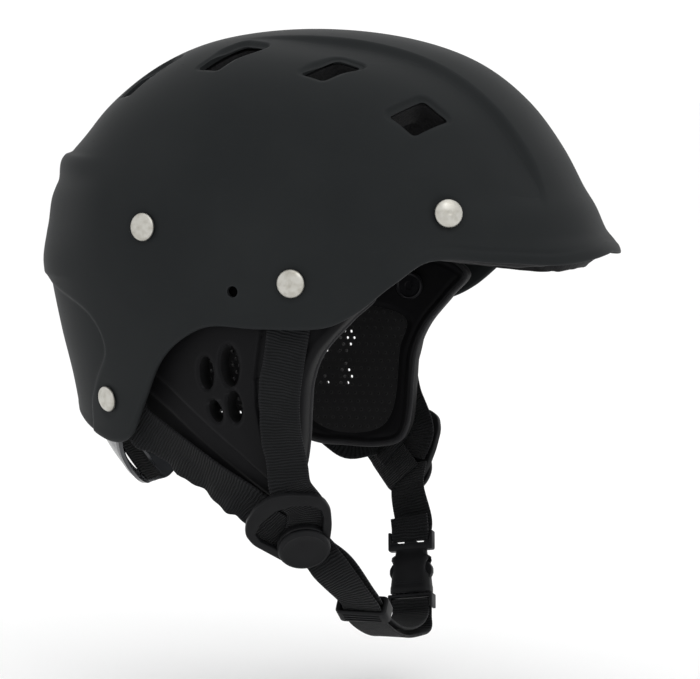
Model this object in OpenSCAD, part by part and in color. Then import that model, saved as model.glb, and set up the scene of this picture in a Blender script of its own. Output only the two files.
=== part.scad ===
// Whitewater helmet: hard shell, foam liner, fit pads, ear pads, rivets, harness and chin buckle.
// Frame: X forward, Y to the wearer's left, Z up. The origin is the underside of the crown pad,
// where the helmet sits on the head. Lengths are millimetres.

/* [Shell] */
// Height of the shell's top above the head seat
shell_top = 32; // [30:1:36]
// Wall of the hard shell
shell_wall = 3.2; // [2.6:0.2:3.6]
// Diameter of the accessory hole above each ear
accessory_hole_d = 5.5; // [4:0.5:7]
// Steps around the shell's surface
shell_steps = 64; // [48:8:72]

/* [Liner and pads] */
// Thickness of the foam liner
liner_wall = 16; // [12:1:17]
// Thickness of the fit pads
pad_wall = 8; // [6:1:9]
// Thickness of each ear pad
ear_pad_wall = 14; // [10:1:16]

/* [Rivets] */
// Diameter of the domed rivet heads
rivet_head_d = 14.2; // [12:0.2:16]
// Height of the rivet's dome
rivet_dome = 2.4; // [1.6:0.2:3]
// Diameter of the rivet's shank
rivet_shank_d = 4.8; // [4:0.2:5]

/* [Harness] */
// Width of the webbing
web_w = 20; // [18:0.5:20.5]
// Thickness of the webbing
web_t = 1.5; // [1.2:0.1:1.6]
/* [Buckle] */
// Width of the side release buckle
buckle_w = 24; // [23:0.5:26]
// Thickness of the buckle's socket
buckle_t = 9.5; // [9:0.5:11]

/* [Hidden] */
$fn = 48;

SHELL_COLOUR = [0.17, 0.175, 0.18];
FOAM_COLOUR = [0.10, 0.10, 0.11];
PAD_COLOUR = [0.14, 0.14, 0.15];
WEB_COLOUR = [0.07, 0.07, 0.08];
PLASTIC_COLOUR = [0.05, 0.05, 0.055];
NICKEL_COLOUR = [0.72, 0.71, 0.67];

// Shell sections: depth below the top, reach forward, reach rearward, half width
SECTIONS = [[0, 0, 0, 0], [5, 48.5, 46, 39], [16, 80.5, 74, 65], [36, 107, 101, 87],
    [64, 128, 126, 100], [82, 140, 137, 104.5], [98, 146, 139, 105.6], [108, 153.5, 139, 106],
    [124, 153.5, 136.5, 106], [150, 151, 131, 103.5], [176, 149, 124.5, 100], [202, 147, 120.5, 96],
    [232, 145, 118, 93]];
// Roundness of the plan sections, where 1 is an ellipse
SQUARENESS = 0.93;
// Shell edge: angle from the front, depth below the top
SHELL_EDGE = [[0, 108], [25, 112], [42, 110], [57, 109], [64, 120], [71, 134], [77, 141], [88, 142],
    [97, 141.5], [104, 149], [110, 161], [116, 180], [122, 197], [129, 202], [142, 198], [160, 191],
    [180, 187]];
// Liner edge: angle from the front, depth below the top
LINER_EDGE = [[0, 107], [25, 111], [42, 109], [55, 104], [90, 103], [120, 103], [128, 122],
    [140, 150], [180, 156]];
// Gap between the shell and the liner
LINER_GAP = 1.7;
liner_out = shell_wall + LINER_GAP;
liner_in = liner_out + liner_wall;
pad_out = liner_in + 0.9;

// Vents on each side: angle, depth, long side and its slope, short side and its slope
VENTS = [[-48.5, 41, 22, 26, 16, -50], [-71, 18, 22.5, 40, 13.5, -29], [-111, 12, 30, 72, 13.5, -6],
    [-149, 23, 30, 95, 12.5, 14]];
VENT_CORNER = 2.6;

// Rivets on the right side: angle, depth, length of shank below the shell's surface
FRONT_RIVET = [-50, 86.5, liner_in + 3.2];
REAR_RIVET = [-111, 94.5, liner_in + 3.2];
EAR_RIVET = [-82.3, 119.5, 7.7];
LOW_RIVET = [-129, 180, 13.6];
RIVETS = [FRONT_RIVET, REAR_RIVET, EAR_RIVET, LOW_RIVET];
shank_r = rivet_shank_d / 2;
washer_t = 1.2;
WASHER_DEPTHS = [liner_in + 1.2, liner_in + 1.2, 6.0, 11.6];
ACCESSORY_HOLE = [-5.5, -92];

// ---------- curves and surfaces ----------
function unit(v) = v / norm(v);
function signed_pow(v, p) = sign(v) * pow(abs(v), p);
function segment(rows, q, i = 0) = i >= len(rows) - 2 || q < rows[i + 1][0] ? i : segment(rows, q, i + 1);
function slope(rows, k, i) = let (a = rows[max(i - 1, 0)], b = rows[min(i + 1, len(rows) - 1)])
    (b[k] - a[k]) / (b[0] - a[0]);
// Smooth curve through column k of the rows, against their first column
function along(rows, k, q) = let (i = segment(rows, q), a = rows[i], b = rows[i + 1], h = b[0] - a[0],
    u = (q - a[0]) / h, ma = slope(rows, k, i) * h, mb = slope(rows, k, i + 1) * h)
    a[k] * (1 + 2 * u) * pow(1 - u, 2) + ma * u * pow(1 - u, 2) + b[k] * u * u * (3 - 2 * u)
    - mb * u * u * (1 - u);
SECTION_ROOTS = [for (s = SECTIONS) [sqrt(s[0]), s[1], s[2], s[3]]];
function reach(k, depth) = along(SECTION_ROOTS, k, sqrt(max(depth, 0)));
function edge_depth(rows, angle) = along(rows, 1, abs(angle > 180 ? angle - 360 : angle));
function plan_point(angle, depth, shrink = 0) = [
    (reach(cos(angle) >= 0 ? 1 : 2, depth) - shrink) * signed_pow(cos(angle), SQUARENESS),
    (reach(3, depth) - shrink) * signed_pow(sin(angle), SQUARENESS), shell_top - depth];
function shell_normal(angle, depth) = unit(cross(
    plan_point(angle, depth + 0.3) - plan_point(angle, max(depth - 0.3, 0.05)),
    plan_point(angle + 0.6, depth) - plan_point(angle - 0.6, depth)));
// A point of the shell's outer surface, moved inward by inset
function shell_point(angle, depth, inset = 0) = plan_point(angle, depth) - inset * shell_normal(angle, depth);

function two_triangles(a, b, c, d) = [[a, b, c], [a, c, d]];

// Closed dome between two insets of the shell's surface, down to the edge given by its rows
module dome(out, in, edge_rows, rows = 16) {
    steps = shell_steps;
    spots = [for (i = [0:steps - 1], j = [1:rows])
        let (angle = 360 * i / steps) [angle, edge_depth(edge_rows, angle) * pow(j / rows, 2)]];
    count = len(spots);
    function at(i, j) = (i % steps) * rows + j - 1;
    polyhedron(
        points = concat([for (s = spots) shell_point(s[0], s[1], out)],
            [for (s = spots) shell_point(s[0], s[1], in)], [[0, 0, shell_top - out], [0, 0, shell_top - in]]),
        faces = concat(
            [for (i = [0:steps - 1], j = [1:rows - 1],
                f = two_triangles(at(i, j), at(i + 1, j), at(i + 1, j + 1), at(i, j + 1))) f],
            [for (i = [0:steps - 1], j = [1:rows - 1],
                f = two_triangles(at(i, j), at(i, j + 1), at(i + 1, j + 1), at(i + 1, j))) f + count * [1, 1, 1]],
            [for (i = [0:steps - 1]) [2 * count, at(i + 1, 1), at(i, 1)]],
            [for (i = [0:steps - 1]) [2 * count + 1, at(i, 1) + count, at(i + 1, 1) + count]],
            [for (i = [0:steps - 1],
                f = two_triangles(at(i, rows), at(i + 1, rows), at(i + 1, rows) + count, at(i, rows) + count)) f]));
}

// Closed sheet over a grid: front(i, j) and back(i, j) give its two faces
module sheet(columns, rows, front, back) {
    count = (columns + 1) * (rows + 1);
    function at(i, j) = i * (rows + 1) + j;
    function rim(a, b) = two_triangles(a, b, b + count, a + count);
    polyhedron(
        points = concat([for (i = [0:columns], j = [0:rows]) front(i / columns, j / rows)],
            [for (i = [0:columns], j = [0:rows]) back(i / columns, j / rows)]),
        faces = concat(
            [for (i = [0:columns - 1], j = [0:rows - 1],
                f = two_triangles(at(i, j), at(i + 1, j), at(i + 1, j + 1), at(i, j + 1))) f],
            [for (i = [0:columns - 1], j = [0:rows - 1],
                f = two_triangles(at(i, j), at(i, j + 1), at(i + 1, j + 1), at(i + 1, j))) f + count * [1, 1, 1]],
            [for (i = [0:columns - 1], f = rim(at(i + 1, 0), at(i, 0))) f],
            [for (i = [0:columns - 1], f = rim(at(i, rows), at(i + 1, rows))) f],
            [for (j = [0:rows - 1], f = rim(at(0, j), at(0, j + 1))) f],
            [for (j = [0:rows - 1], f = rim(at(columns, j + 1), at(columns, j))) f]));
}

// Fit pad: a patch of the liner's inner face between two angles and two depths
module fit_pad(from, to, top, bottom, columns = 10, rows = 5) {
    sheet(columns, rows,
        function (u, v) shell_point(from + (to - from) * u, top + (bottom - top) * v, pad_out),
        function (u, v) shell_point(from + (to - from) * u, top + (bottom - top) * v, pad_out + pad_wall));
}

// Webbing swept along rows of point and outward normal, smoothed with a few steps between rows
module webbing(rows, steps = 4) {
    keyed = [for (i = [0:len(rows) - 1]) concat([i], rows[i][0], rows[i][1])];
    count = (len(rows) - 1) * steps;
    function place(k, q) = [for (c = [k:k + 2]) along(keyed, c, q)];
    spots = [for (i = [0:count]) let (q = i / steps, run = unit(place(1, min(q + 0.05, len(rows) - 1))
        - place(1, max(q - 0.05, 0))), hint = place(4, q), out = unit(hint - (hint * run) * run),
        side = cross(run, out)) [place(1, q), out, side]];
    corners = [for (s = spots) each [
        s[0] + s[2] * web_w / 2 + s[1] * web_t / 2, s[0] - s[2] * web_w / 2 + s[1] * web_t / 2,
        s[0] - s[2] * web_w / 2 - s[1] * web_t / 2, s[0] + s[2] * web_w / 2 - s[1] * web_t / 2]];
    polyhedron(points = corners, faces = concat([[0, 1, 2, 3]],
        [for (i = [0:count - 1], c = [0:3], f = two_triangles(4 * i + c, 4 * i + 4 + c,
            4 * i + 4 + (c + 1) % 4, 4 * i + (c + 1) % 4)) f],
        [[4 * count + 3, 4 * count + 2, 4 * count + 1, 4 * count]]));
}

// Stands children on the shell with their Z along the outward normal
module on_shell(spot, inset = 0) {
    n = shell_normal(spot[0], spot[1]);
    translate(shell_point(spot[0], spot[1], inset)) rotate([0, acos(n.z), atan2(n.y, n.x)]) children();
}

module both_sides() {
    children();
    mirror([0, 1, 0]) children();
}

function arc(x, y, r, from, to, steps = 4) =
    [for (i = [0:steps]) let (a = from + (to - from) * i / steps) [x + r * cos(a), y + r * sin(a)]];

// Corners of a polygon rounded by an arc of about radius r
function rounded(points, r, steps = 3) = [for (i = [0:len(points) - 1])
    let (p = points[i], a = unit(points[(i + len(points) - 1) % len(points)] - p),
        b = unit(points[(i + 1) % len(points)] - p))
    each [for (k = [0:steps]) let (u = k / steps) p + r * (a * pow(1 - u, 2) + b * u * u)]];

// Closed smooth outline through points
function smooth_outline(points, steps = 3) = let (n = len(points), rows = [for (i = [-1:n + 1])
    concat([i], points[(i + n) % n])]) [for (i = [0:n * steps - 1]) [along(rows, 1, i / steps),
        along(rows, 2, i / steps)]];

function box_outline(w, h) = [[-w / 2, -h / 2], [w / 2, -h / 2], [w / 2, h / 2], [-w / 2, h / 2]];

// ---------- shell and liner ----------
function vent_outline(v) = let (long = v[2] / 2 * [cos(v[3]), sin(v[3])],
    short = v[4] / 2 * [cos(v[5]), sin(v[5])])
    rounded([long + short, -long + short, -long - short, long - short], VENT_CORNER);

// The four vents of the right side, from above the shell to a depth below its surface
module vent_cutters(depth) {
    for (v = VENTS) on_shell(v, depth) rotate(90) linear_extrude(depth + 12) polygon(vent_outline(v));
}

module rivet_holes(reach_in, spots) {
    for (r = spots) on_shell(r, reach_in) cylinder(r = shank_r + 0.2, h = reach_in + 8);
}

module outer_shell() {
    color(SHELL_COLOUR) difference() {
        dome(0, shell_wall, SHELL_EDGE);
        both_sides() {
            vent_cutters(9);
            rivet_holes(10, RIVETS);
            translate([ACCESSORY_HOLE.x, -92, ACCESSORY_HOLE.y]) rotate([90, 0, 0])
                cylinder(r = accessory_hole_d / 2, h = 30);
        }
    }
}

module foam_liner() {
    color(FOAM_COLOUR) difference() {
        dome(liner_out, liner_in, LINER_EDGE, 12);
        both_sides() {
            vent_cutters(34);
            rivet_holes(28, [FRONT_RIVET, REAR_RIVET]);
        }
    }
}

// ---------- fit pads ----------
module brow_pad() {
    color(PAD_COLOUR) fit_pad(-38, 38, 62, 98, 14);
}

module crown_pad() {
    top = shell_top - pad_out;
    color(PAD_COLOUR) rotate_extrude()
        polygon([[0, 0], [32.5, 0], [34, 1.5], [34, top - 4.8], [23, top - 1.8], [0, top - 0.6]]);
}

module side_pad() {
    color(PAD_COLOUR) fit_pad(-100, -60, 60, 98);
}

module side_pad_right() side_pad();
module side_pad_left() mirror([0, 1, 0]) side_pad();

module rear_pad() {
    color(PAD_COLOUR) fit_pad(134, 226, 80, 142, 14);
}

// ---------- ear pads ----------
// Outer face of the ear pad: its distance from the middle plane at a place in side view
function ear_y(x, z) = 98.4 - 0.0026 * pow(max(-100 - z, 0), 2) - 0.004 * pow(x - 5, 2);
EAR_OUTLINE = [[56, -94], [46, -106], [33, -121], [27, -135], [24.6, -151], [23.5, -166], [20, -179],
    [13, -189], [5, -193], [-6, -190], [-20, -184.5], [-38, -176], [-57, -162], [-62, -144], [-55, -121],
    [-38, -101], [-14, -90], [14, -85], [40, -85]];
LINING_OUTLINE = [[20, -118], [18, -135], [17, -164], [8, -176], [-14, -177], [-30, -168], [-42, -152],
    [-42, -134], [-32, -118], [-8, -112]];
// Sound ports: place, width, height and tilt in side view
EAR_PORTS = [[-11, -128.5, 10.5, 21, 0], [-24, -132.5, 8.5, 17, 0], [-10, -148.5, 8.5, 16.5, 0],
    [-20.5, -151, 7.5, 12, 14]];

// Side-view outline extruded through the pad's curved slab between two insets from its outer face
module ear_slab(outline, out, in) {
    intersection() {
        rotate([90, 0, 0]) linear_extrude(130) polygon(outline);
        sheet(10, 12,
            function (u, v) let (x = -60 + 120 * u, z = -80 - 118 * v) [x, out - ear_y(x, z), z],
            function (u, v) let (x = -60 + 120 * u, z = -80 - 118 * v) [x, in - ear_y(x, z), z]);
    }
}

module ear_ports() {
    for (p = EAR_PORTS) translate([p[0], 0, p[1]]) rotate([90, 0, 0]) linear_extrude(130) rotate(p[4])
        polygon([for (a = [0:18:342]) [p[2] / 2 * cos(a), p[3] / 2 * sin(a)]]);
}

module ear_pad() {
    color(PAD_COLOUR) difference() {
        ear_slab(smooth_outline(EAR_OUTLINE), 0, ear_pad_wall);
        ear_ports();
    }
}

module ear_lining() {
    color(FOAM_COLOUR) ear_slab(smooth_outline(LINING_OUTLINE), ear_pad_wall + 0.2, ear_pad_wall + 1.7);
}

module ear_pad_right() ear_pad();
module ear_pad_left() mirror([0, 1, 0]) ear_pad();
module ear_lining_right() ear_lining();
module ear_lining_left() mirror([0, 1, 0]) ear_lining();

// Round press button on the inner face of each ear pad
SNAP = [23.5, -101];
module pad_snaps() {
    color(PLASTIC_COLOUR) both_sides() translate([SNAP.x, ear_pad_wall + 1.7 - ear_y(SNAP.x, SNAP.y), SNAP.y])
        rotate([-90, 0, 0]) rotate_extrude() polygon([[0, 0], [7, 0], [7, 1], [6.2, 1.8], [4.2, 2.2], [0, 2.4]]);
}

// ---------- rivets ----------
module rivet(length) {
    head_r = rivet_head_d / 2;
    rotate_extrude() polygon(concat([[0, -length], [shank_r, -length], [shank_r, 0.35], [head_r, 0.35]],
        [for (a = [0:15:90]) [head_r * cos(a * 0.95), 0.6 + rivet_dome * sin(a)]], [[0, 0.6 + rivet_dome]]));
}

module shell_rivets() {
    color(NICKEL_COLOUR) both_sides() for (r = RIVETS) on_shell(r) rivet(r[2]);
}

module rivet_washers() {
    color(NICKEL_COLOUR) both_sides() for (k = [0:len(RIVETS) - 1])
        on_shell(RIVETS[k], WASHER_DEPTHS[k] + washer_t) difference() {
            cylinder(r = 6.5, h = washer_t);
            translate([0, 0, -1]) cylinder(r = shank_r + 0.1, h = washer_t + 2);
        }
}

// ---------- harness ----------
STRAP_INSET = 4.6;
// Webbing lies this far outside the ear pad's outer face, to its middle
LAY = 1.7;
function on_pad(x, z, turn = 0) = [[x, -ear_y(x, z) - LAY - 7 * turn, z],
    [turn + 0.008 * (x - 5), -1, -0.0052 * max(-100 - z, 0)]];
function under_shell(angle, depth) = [shell_point(angle, depth, STRAP_INSET), shell_normal(angle, depth)];

// Strap dividers, both given on the right side: hub, tilt of the plate from level, turn to the front
YOKE_RIGHT = [[14, -60, -217], 128, 26];
YOKE_LEFT = [[22, -80, -197], 121, 22];
function yoke_turn(yoke, p) = let (a = yoke[1], b = yoke[2], q = [p.x, p.y * cos(a) - p.z * sin(a),
    p.y * sin(a) + p.z * cos(a)]) [q.x * cos(b) - q.y * sin(b), q.x * sin(b) + q.y * cos(b), q.z];
function yoke_spot(yoke, p) = [yoke[0] + yoke_turn(yoke, p), yoke_turn(yoke, [0, 0, 1])];
module at_yoke(yoke) translate(yoke[0]) rotate([yoke[1], 0, yoke[2]]) children();
// Depths of the webbing's layers behind the divider's plate
FIRST_LAYER = -1.2;
SECOND_LAYER = -3.7;

// Strap in front of the ear: from the ear rivet over the pad to the divider
module front_strap(yoke, run) {
    color(WEB_COLOUR) difference() {
        webbing(concat([under_shell(-81, 110), under_shell(-81.5, 121), on_pad(20.6, -110), on_pad(16.2, -132),
            on_pad(14, -146)], [for (p = run) on_pad(p[0], p[1], p[2])],
            [for (p = [[0.6, 20, -1.8], [0.6, 11, FIRST_LAYER]]) yoke_spot(yoke, p)]));
        on_shell(EAR_RIVET, 12) cylinder(r = shank_r + 0.2, h = 16);
    }
}

// Strap behind the ear: from the low rivet forward to the divider
module rear_strap(yoke, run) {
    color(WEB_COLOUR) difference() {
        webbing(concat([under_shell(-133.5, 173), under_shell(-127, 182), [[-64, -77.6, -160],
            [-0.25, -1, -0.25]]], [for (p = run) on_pad(p[0], p[1], p[2])],
            [for (p = [[-19, 13, -5.6], [-8, 8, SECOND_LAYER]]) yoke_spot(yoke, p)]));
        on_shell(LOW_RIVET, 14) cylinder(r = shank_r + 0.2, h = 18);
    }
}

module front_strap_right() front_strap(YOKE_RIGHT, [[13.6, -160, 0], [14.8, -176, 0.12],
    [15.5, -188, 0.3]]);
module front_strap_left() mirror([0, 1, 0]) front_strap(YOKE_LEFT, [[18.5, -160, 0.5]]);
module rear_strap_right() rear_strap(YOKE_RIGHT, [[-46, -172, 0], [-25, -185.8, 0],
    [-10, -195.4, 0.2]]);
module rear_strap_left() mirror([0, 1, 0]) rear_strap(YOKE_LEFT, [[-46, -167, 0], [-25, -175, 0],
    [-9, -184, 0.1]]);

// Divider plate, in its own plane about the hub: an arch over a window, joined to a round hub
hub_r = 13.2;
yoke_t = 3.4;
YOKE_OUTLINE = [[-29.3, 17], [-29.3, 8.5], [-25, 1.5], [-14.5, -6.5], [-6, -13], [3, -13.6], [10, -8.5],
    [12.6, 2], [12.8, 14], [11.4, 25], [7.5, 32], [1, 35], [-12, 35.4], [-19, 33.2], [-25.8, 26]];
YOKE_WINDOW = [[-24.6, 8], [-22.2, 16], [-15.5, 24.6], [-7, 28], [0.8, 28], [6.4, 25.2], [8, 20],
    [8.2, 8], [0, 0], [-12, -3], [-21.5, 2.5]];

module yoke(yoke) {
    color(PLASTIC_COLOUR) at_yoke(yoke) difference() {
        linear_extrude(yoke_t) polygon(rounded(YOKE_OUTLINE, 3));
        translate([0, 0, -1]) linear_extrude(yoke_t + 2) difference() {
            polygon(rounded(YOKE_WINDOW, 1.5));
            circle(r = hub_r);
        }
    }
}

module yoke_cap(yoke) {
    color(PLASTIC_COLOUR) at_yoke(yoke) translate([0, 0, yoke_t + 0.1]) rotate_extrude()
        polygon(concat([[0, 0], [12.4, 0], [13, 0.6]], arc(11.4, 1.8, 1.6, 0, 90), [[0, 3.7]]));
}

module yoke_right() yoke(YOKE_RIGHT);
module yoke_left() mirror([0, 1, 0]) yoke(YOKE_LEFT);
module yoke_cap_right() yoke_cap(YOKE_RIGHT);
module yoke_cap_left() mirror([0, 1, 0]) yoke_cap(YOKE_LEFT);

// ---------- buckle frame ----------
// Middle of the buckle's mouth, with the local Z running up the buckle
BUCKLE = [34.7, 50, -257.8];
BUCKLE_TURN = [-20, -7, 0];
function turned(p) = let (a = BUCKLE_TURN.x, b = BUCKLE_TURN.y, q = [p.x, p.y * cos(a) - p.z * sin(a),
    p.y * sin(a) + p.z * cos(a)]) [q.x * cos(b) + q.z * sin(b), q.y, q.z * cos(b) - q.x * sin(b)];
function at_buckle(p) = BUCKLE + turned(p);
module buckle_place() translate(BUCKLE) rotate(BUCKLE_TURN) children();

slot_w = web_w + 0.8;
plug_bar_z = -5.4;
socket_bar_z = 30.4;
bar_r = 1.2;
wrap_r = bar_r + 0.35 + web_t / 2;

// ---------- chin straps ----------
SLIDER = [34, -26, -254];
SLIDER_TURN = 53;
slider_run = [0, -sin(SLIDER_TURN), cos(SLIDER_TURN)];
slider_out = [0, -cos(SLIDER_TURN), -sin(SLIDER_TURN)];
// Half the distance between the two layers of webbing at the slider
layer = 1.9;
function slider_row(run, side) = [SLIDER + slider_run * run + slider_out * layer * side, slider_out];
function wrap_row(z, a) = [at_buckle([0, wrap_r * cos(a), z + wrap_r * sin(a)]),
    turned([0, cos(a), sin(a)])];
function neg(row) = [row[0], -row[1]];

// From the right divider, through the slider, round the plug's bar and back as a tail
module chin_strap_right() {
    outer = [yoke_spot(YOKE_RIGHT, [0, 2, FIRST_LAYER]), yoke_spot(YOKE_RIGHT, [8, -9, FIRST_LAYER - 0.4]),
        [[24, -48, -231.5], [0.3, -0.72, -0.62]], slider_row(12, 1), slider_row(0, 1), slider_row(-12, 1),
        [[35, 8, -272.5], [0, -0.12, -0.99]], [[36.4, 36, -275.4], [0.05, 0.12, -0.99]],
        [at_buckle([0, wrap_r + 1, -13]), [0.05, 0.95, 0.35]]];
    wrap = [for (a = [0:60:180]) wrap_row(plug_bar_z, a)];
    inner = [[at_buckle([0, -wrap_r - 0.6, -12]), turned([0, -1, 0])],
        [[36, 29, -270.4], [0, -0.3, 0.95]], [[35, 8, -268.6], [0, 0.25, 0.97]],
        neg(slider_row(-12, -1)), neg(slider_row(0, -1)), neg(slider_row(12, -1)), [[25.5, -43.4, -231], [-0.28, 0.74, 0.6]],
        neg(yoke_spot(YOKE_RIGHT, [8, -11, -4.8]))];
    color(WEB_COLOUR) webbing(concat(outer, wrap, inner), 3);
}

// From the left divider down to the socket's bar, which it wraps
module chin_strap_left() {
    function mirrored(row) = [for (v = row) [v.x, -v.y, v.z]];
    color(WEB_COLOUR) webbing([
        mirrored(yoke_spot(YOKE_LEFT, [3, 2, FIRST_LAYER])),
        mirrored(yoke_spot(YOKE_LEFT, [7, -12, FIRST_LAYER])),
        [at_buckle([0, wrap_r + 1.4, socket_bar_z + 9]), turned([0, 1, 0])],
        [at_buckle([0, wrap_r + 0.2, socket_bar_z + 3]), turned([0, 1, 0])],
        each [for (a = [0:-60:-180]) wrap_row(socket_bar_z, a)],
        [at_buckle([0, -wrap_r - 0.1, socket_bar_z + 4]), turned([0, -1, 0])],
        [at_buckle([-0.6, -wrap_r - 0.1, socket_bar_z + 10]), turned([0, -1, 0])]], 3);
}

// Three-bar slider: a ring round both layers with a bar between them
module strap_slider() {
    color(PLASTIC_COLOUR) translate(SLIDER) rotate([SLIDER_TURN, 0, 0]) {
        difference() {
            translate([0, 0, -5]) linear_extrude(10) polygon(rounded(box_outline(26.5, 10.6), 2.4));
            translate([0, 0, -6]) linear_extrude(12) polygon(rounded(box_outline(21.4, 6.9), 0.8));
        }
        translate([-11.2, -0.7, -2]) cube([22.4, 1.4, 4]);
    }
}

// ---------- side release buckle ----------
socket_len = 20;
cavity_w = 17.4;
cavity_t = 5.2;
window_low = 7.4;
window_high = 18.6;
// Round bar that the webbing wraps
module buckle_bar(z) {
    translate([-slot_w / 2 - 1, 0, z]) rotate([0, 90, 0]) cylinder(r = bar_r, h = slot_w + 2);
}

module buckle_socket() {
    color(PLASTIC_COLOUR) buckle_place() difference() {
        union() {
            linear_extrude(socket_len) polygon(rounded(box_outline(buckle_w - 2, buckle_t), 2));
            translate([0, 0, socket_len - 0.5]) linear_extrude(4) polygon(rounded(box_outline(17, 6.4), 1.5));
            translate([0, 0, socket_len + 3]) linear_extrude(9.4)
                polygon(rounded(box_outline(buckle_w, 5), 1.2));
        }
        translate([-cavity_w / 2, -cavity_t / 2, -1]) cube([cavity_w, cavity_t, socket_len - 0.6]);
        for (side = [-1, 1]) translate([side * 12.5 - 5, -cavity_t / 2, window_low])
            cube([10, cavity_t, window_high - window_low]);
        for (side = [-1, 1]) translate([side * 14, 10, (window_low + window_high) / 2]) rotate([90, 0, 0])
            cylinder(r = 6, h = 20);
        translate([-slot_w / 2, -6, socket_len + 5.2]) cube([slot_w, 12, 9]);
    }
    color(PLASTIC_COLOUR) buckle_place() buckle_bar(socket_bar_z);
}

module buckle_plug() {
    color(PLASTIC_COLOUR) buckle_place() {
        difference() {
            translate([0, 0, -8]) linear_extrude(7.4) polygon(rounded(box_outline(buckle_w, 7), 1.8));
            translate([-slot_w / 2, -6, -9]) cube([slot_w, 12, 7.3]);
        }
        buckle_bar(plug_bar_z);
        translate([-2.1, -1.7, -0.8]) cube([4.2, 3.4, 15.8]);
    }
}

// One spring arm with its barbed thumb pad
module prong(side) {
    color(PLASTIC_COLOUR) buckle_place() rotate([90, 0, 0]) translate([0, 0, -1.8]) linear_extrude(3.6)
        polygon([for (p = [[4.2, -0.1], [7.4, -0.1], [7.2, 4], [8.2, 7.9], [10.6, 8.2], [11.2, 11],
            [10.4, 14.5], [7.6, 17], [6.2, 16.6], [5.2, 10], [4.4, 4]]) [p.x * side, p.y]]);
}

module prong_front() prong(1);
module prong_rear() prong(-1);

// ---------- occipital brace ----------
// Angle from the rear, height of the upper edge, height of the lower edge
BRACE = [[0, -166, -198], [14, -165, -197], [26, -160, -190], [38, -150, -175], [47, -142, -162],
    [54, -139.5, -157], [59, -143, -153]];
brace_inset = 7.3;
brace_t = 2;
brace_end = 59;
function brace_point(u, v, inset) = let (a = brace_end * (2 * u - 1), top = along(BRACE, 1, abs(a)),
    z = top + (along(BRACE, 2, abs(a)) - top) * v, lean = 0.0095 * pow(max(-150 - z, 0), 2))
    plan_point(180 + a, shell_top - z, inset + lean);

module occipital_brace() {
    color([0.45, 0.46, 0.48]) difference() {
        sheet(32, 5, function (u, v) brace_point(u, v, brace_inset),
            function (u, v) brace_point(u, v, brace_inset + brace_t));
        both_sides() on_shell(LOW_RIVET, 16) cylinder(r = shank_r + 1.3, h = 16);
        translate([-140, 0, -187]) rotate([90, 0, 90]) linear_extrude(80)
            polygon(concat(arc(9, 0, 4.5, -90, 90, 8), arc(-9, 0, 4.5, 90, 270, 8)));
    }
}

outer_shell();
foam_liner();
brow_pad();
crown_pad();
side_pad_right();
side_pad_left();
rear_pad();
ear_pad_right();
ear_pad_left();
ear_lining_right();
ear_lining_left();
pad_snaps();
shell_rivets();
rivet_washers();
front_strap_right();
front_strap_left();
rear_strap_right();
rear_strap_left();
yoke_right();
yoke_left();
yoke_cap_right();
yoke_cap_left();
chin_strap_right();
chin_strap_left();
strap_slider();
buckle_socket();
buckle_plug();
prong_front();
prong_rear();
occipital_brace();
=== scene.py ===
"""Whitewater helmet: the looks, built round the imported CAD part.

Frame: X forward, Y to the wearer's left, Z up, origin where the helmet sits on the head.
Shapes are worked out in millimetres and turned into metres when their mesh is made.
"""
import math
import bmesh
import bpy
import numpy as np
from mathutils import Matrix, Vector


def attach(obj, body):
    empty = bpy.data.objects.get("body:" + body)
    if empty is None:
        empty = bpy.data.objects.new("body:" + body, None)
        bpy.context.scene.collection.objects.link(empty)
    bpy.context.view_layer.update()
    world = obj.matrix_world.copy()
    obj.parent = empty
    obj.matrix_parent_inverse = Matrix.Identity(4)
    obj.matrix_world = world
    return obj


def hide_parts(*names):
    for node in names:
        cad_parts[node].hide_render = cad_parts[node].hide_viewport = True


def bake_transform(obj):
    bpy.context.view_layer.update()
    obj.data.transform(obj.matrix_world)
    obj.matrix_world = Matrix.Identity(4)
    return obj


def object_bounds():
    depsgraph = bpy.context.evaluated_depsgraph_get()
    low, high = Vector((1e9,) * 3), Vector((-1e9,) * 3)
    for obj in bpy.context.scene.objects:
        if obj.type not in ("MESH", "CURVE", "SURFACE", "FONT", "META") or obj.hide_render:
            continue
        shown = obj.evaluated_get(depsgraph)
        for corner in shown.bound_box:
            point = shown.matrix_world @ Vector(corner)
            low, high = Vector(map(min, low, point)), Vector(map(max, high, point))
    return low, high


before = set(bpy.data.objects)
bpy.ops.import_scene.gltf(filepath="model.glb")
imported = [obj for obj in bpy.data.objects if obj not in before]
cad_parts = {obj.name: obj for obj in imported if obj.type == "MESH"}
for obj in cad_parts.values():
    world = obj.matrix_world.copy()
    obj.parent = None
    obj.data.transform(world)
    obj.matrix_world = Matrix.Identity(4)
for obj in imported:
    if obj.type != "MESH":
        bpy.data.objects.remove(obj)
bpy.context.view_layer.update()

MM = 0.001
SHELL_TOP = 32
SHELL_WALL = 3.2
LINER_OUT = 4.9
LINER_IN = 20.9
PAD_OUT = 21.8
PAD_WALL = 8
WEB_W = 20
WEB_T = 1.5
RIGHT, LEFT = -1, 1
SIDE_NAME = {RIGHT: "right", LEFT: "left"}


# ---------- curves and the shell's surface ----------
# Depth below the top, reach forward, reach rearward, half width
SECTIONS = [
    (0, 0, 0, 0), (5, 48.5, 46, 39), (16, 80.5, 74, 65), (36, 107, 101, 87), (64, 128, 126, 100),
    (82, 140, 137, 104.5), (98, 146, 139, 105.6), (108, 153.5, 139, 106), (124, 153.5, 136.5, 106),
    (150, 151, 131, 103.5), (176, 149, 124.5, 100), (202, 147, 120.5, 96), (232, 145, 118, 93)]
SQUARENESS = 0.93
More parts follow.
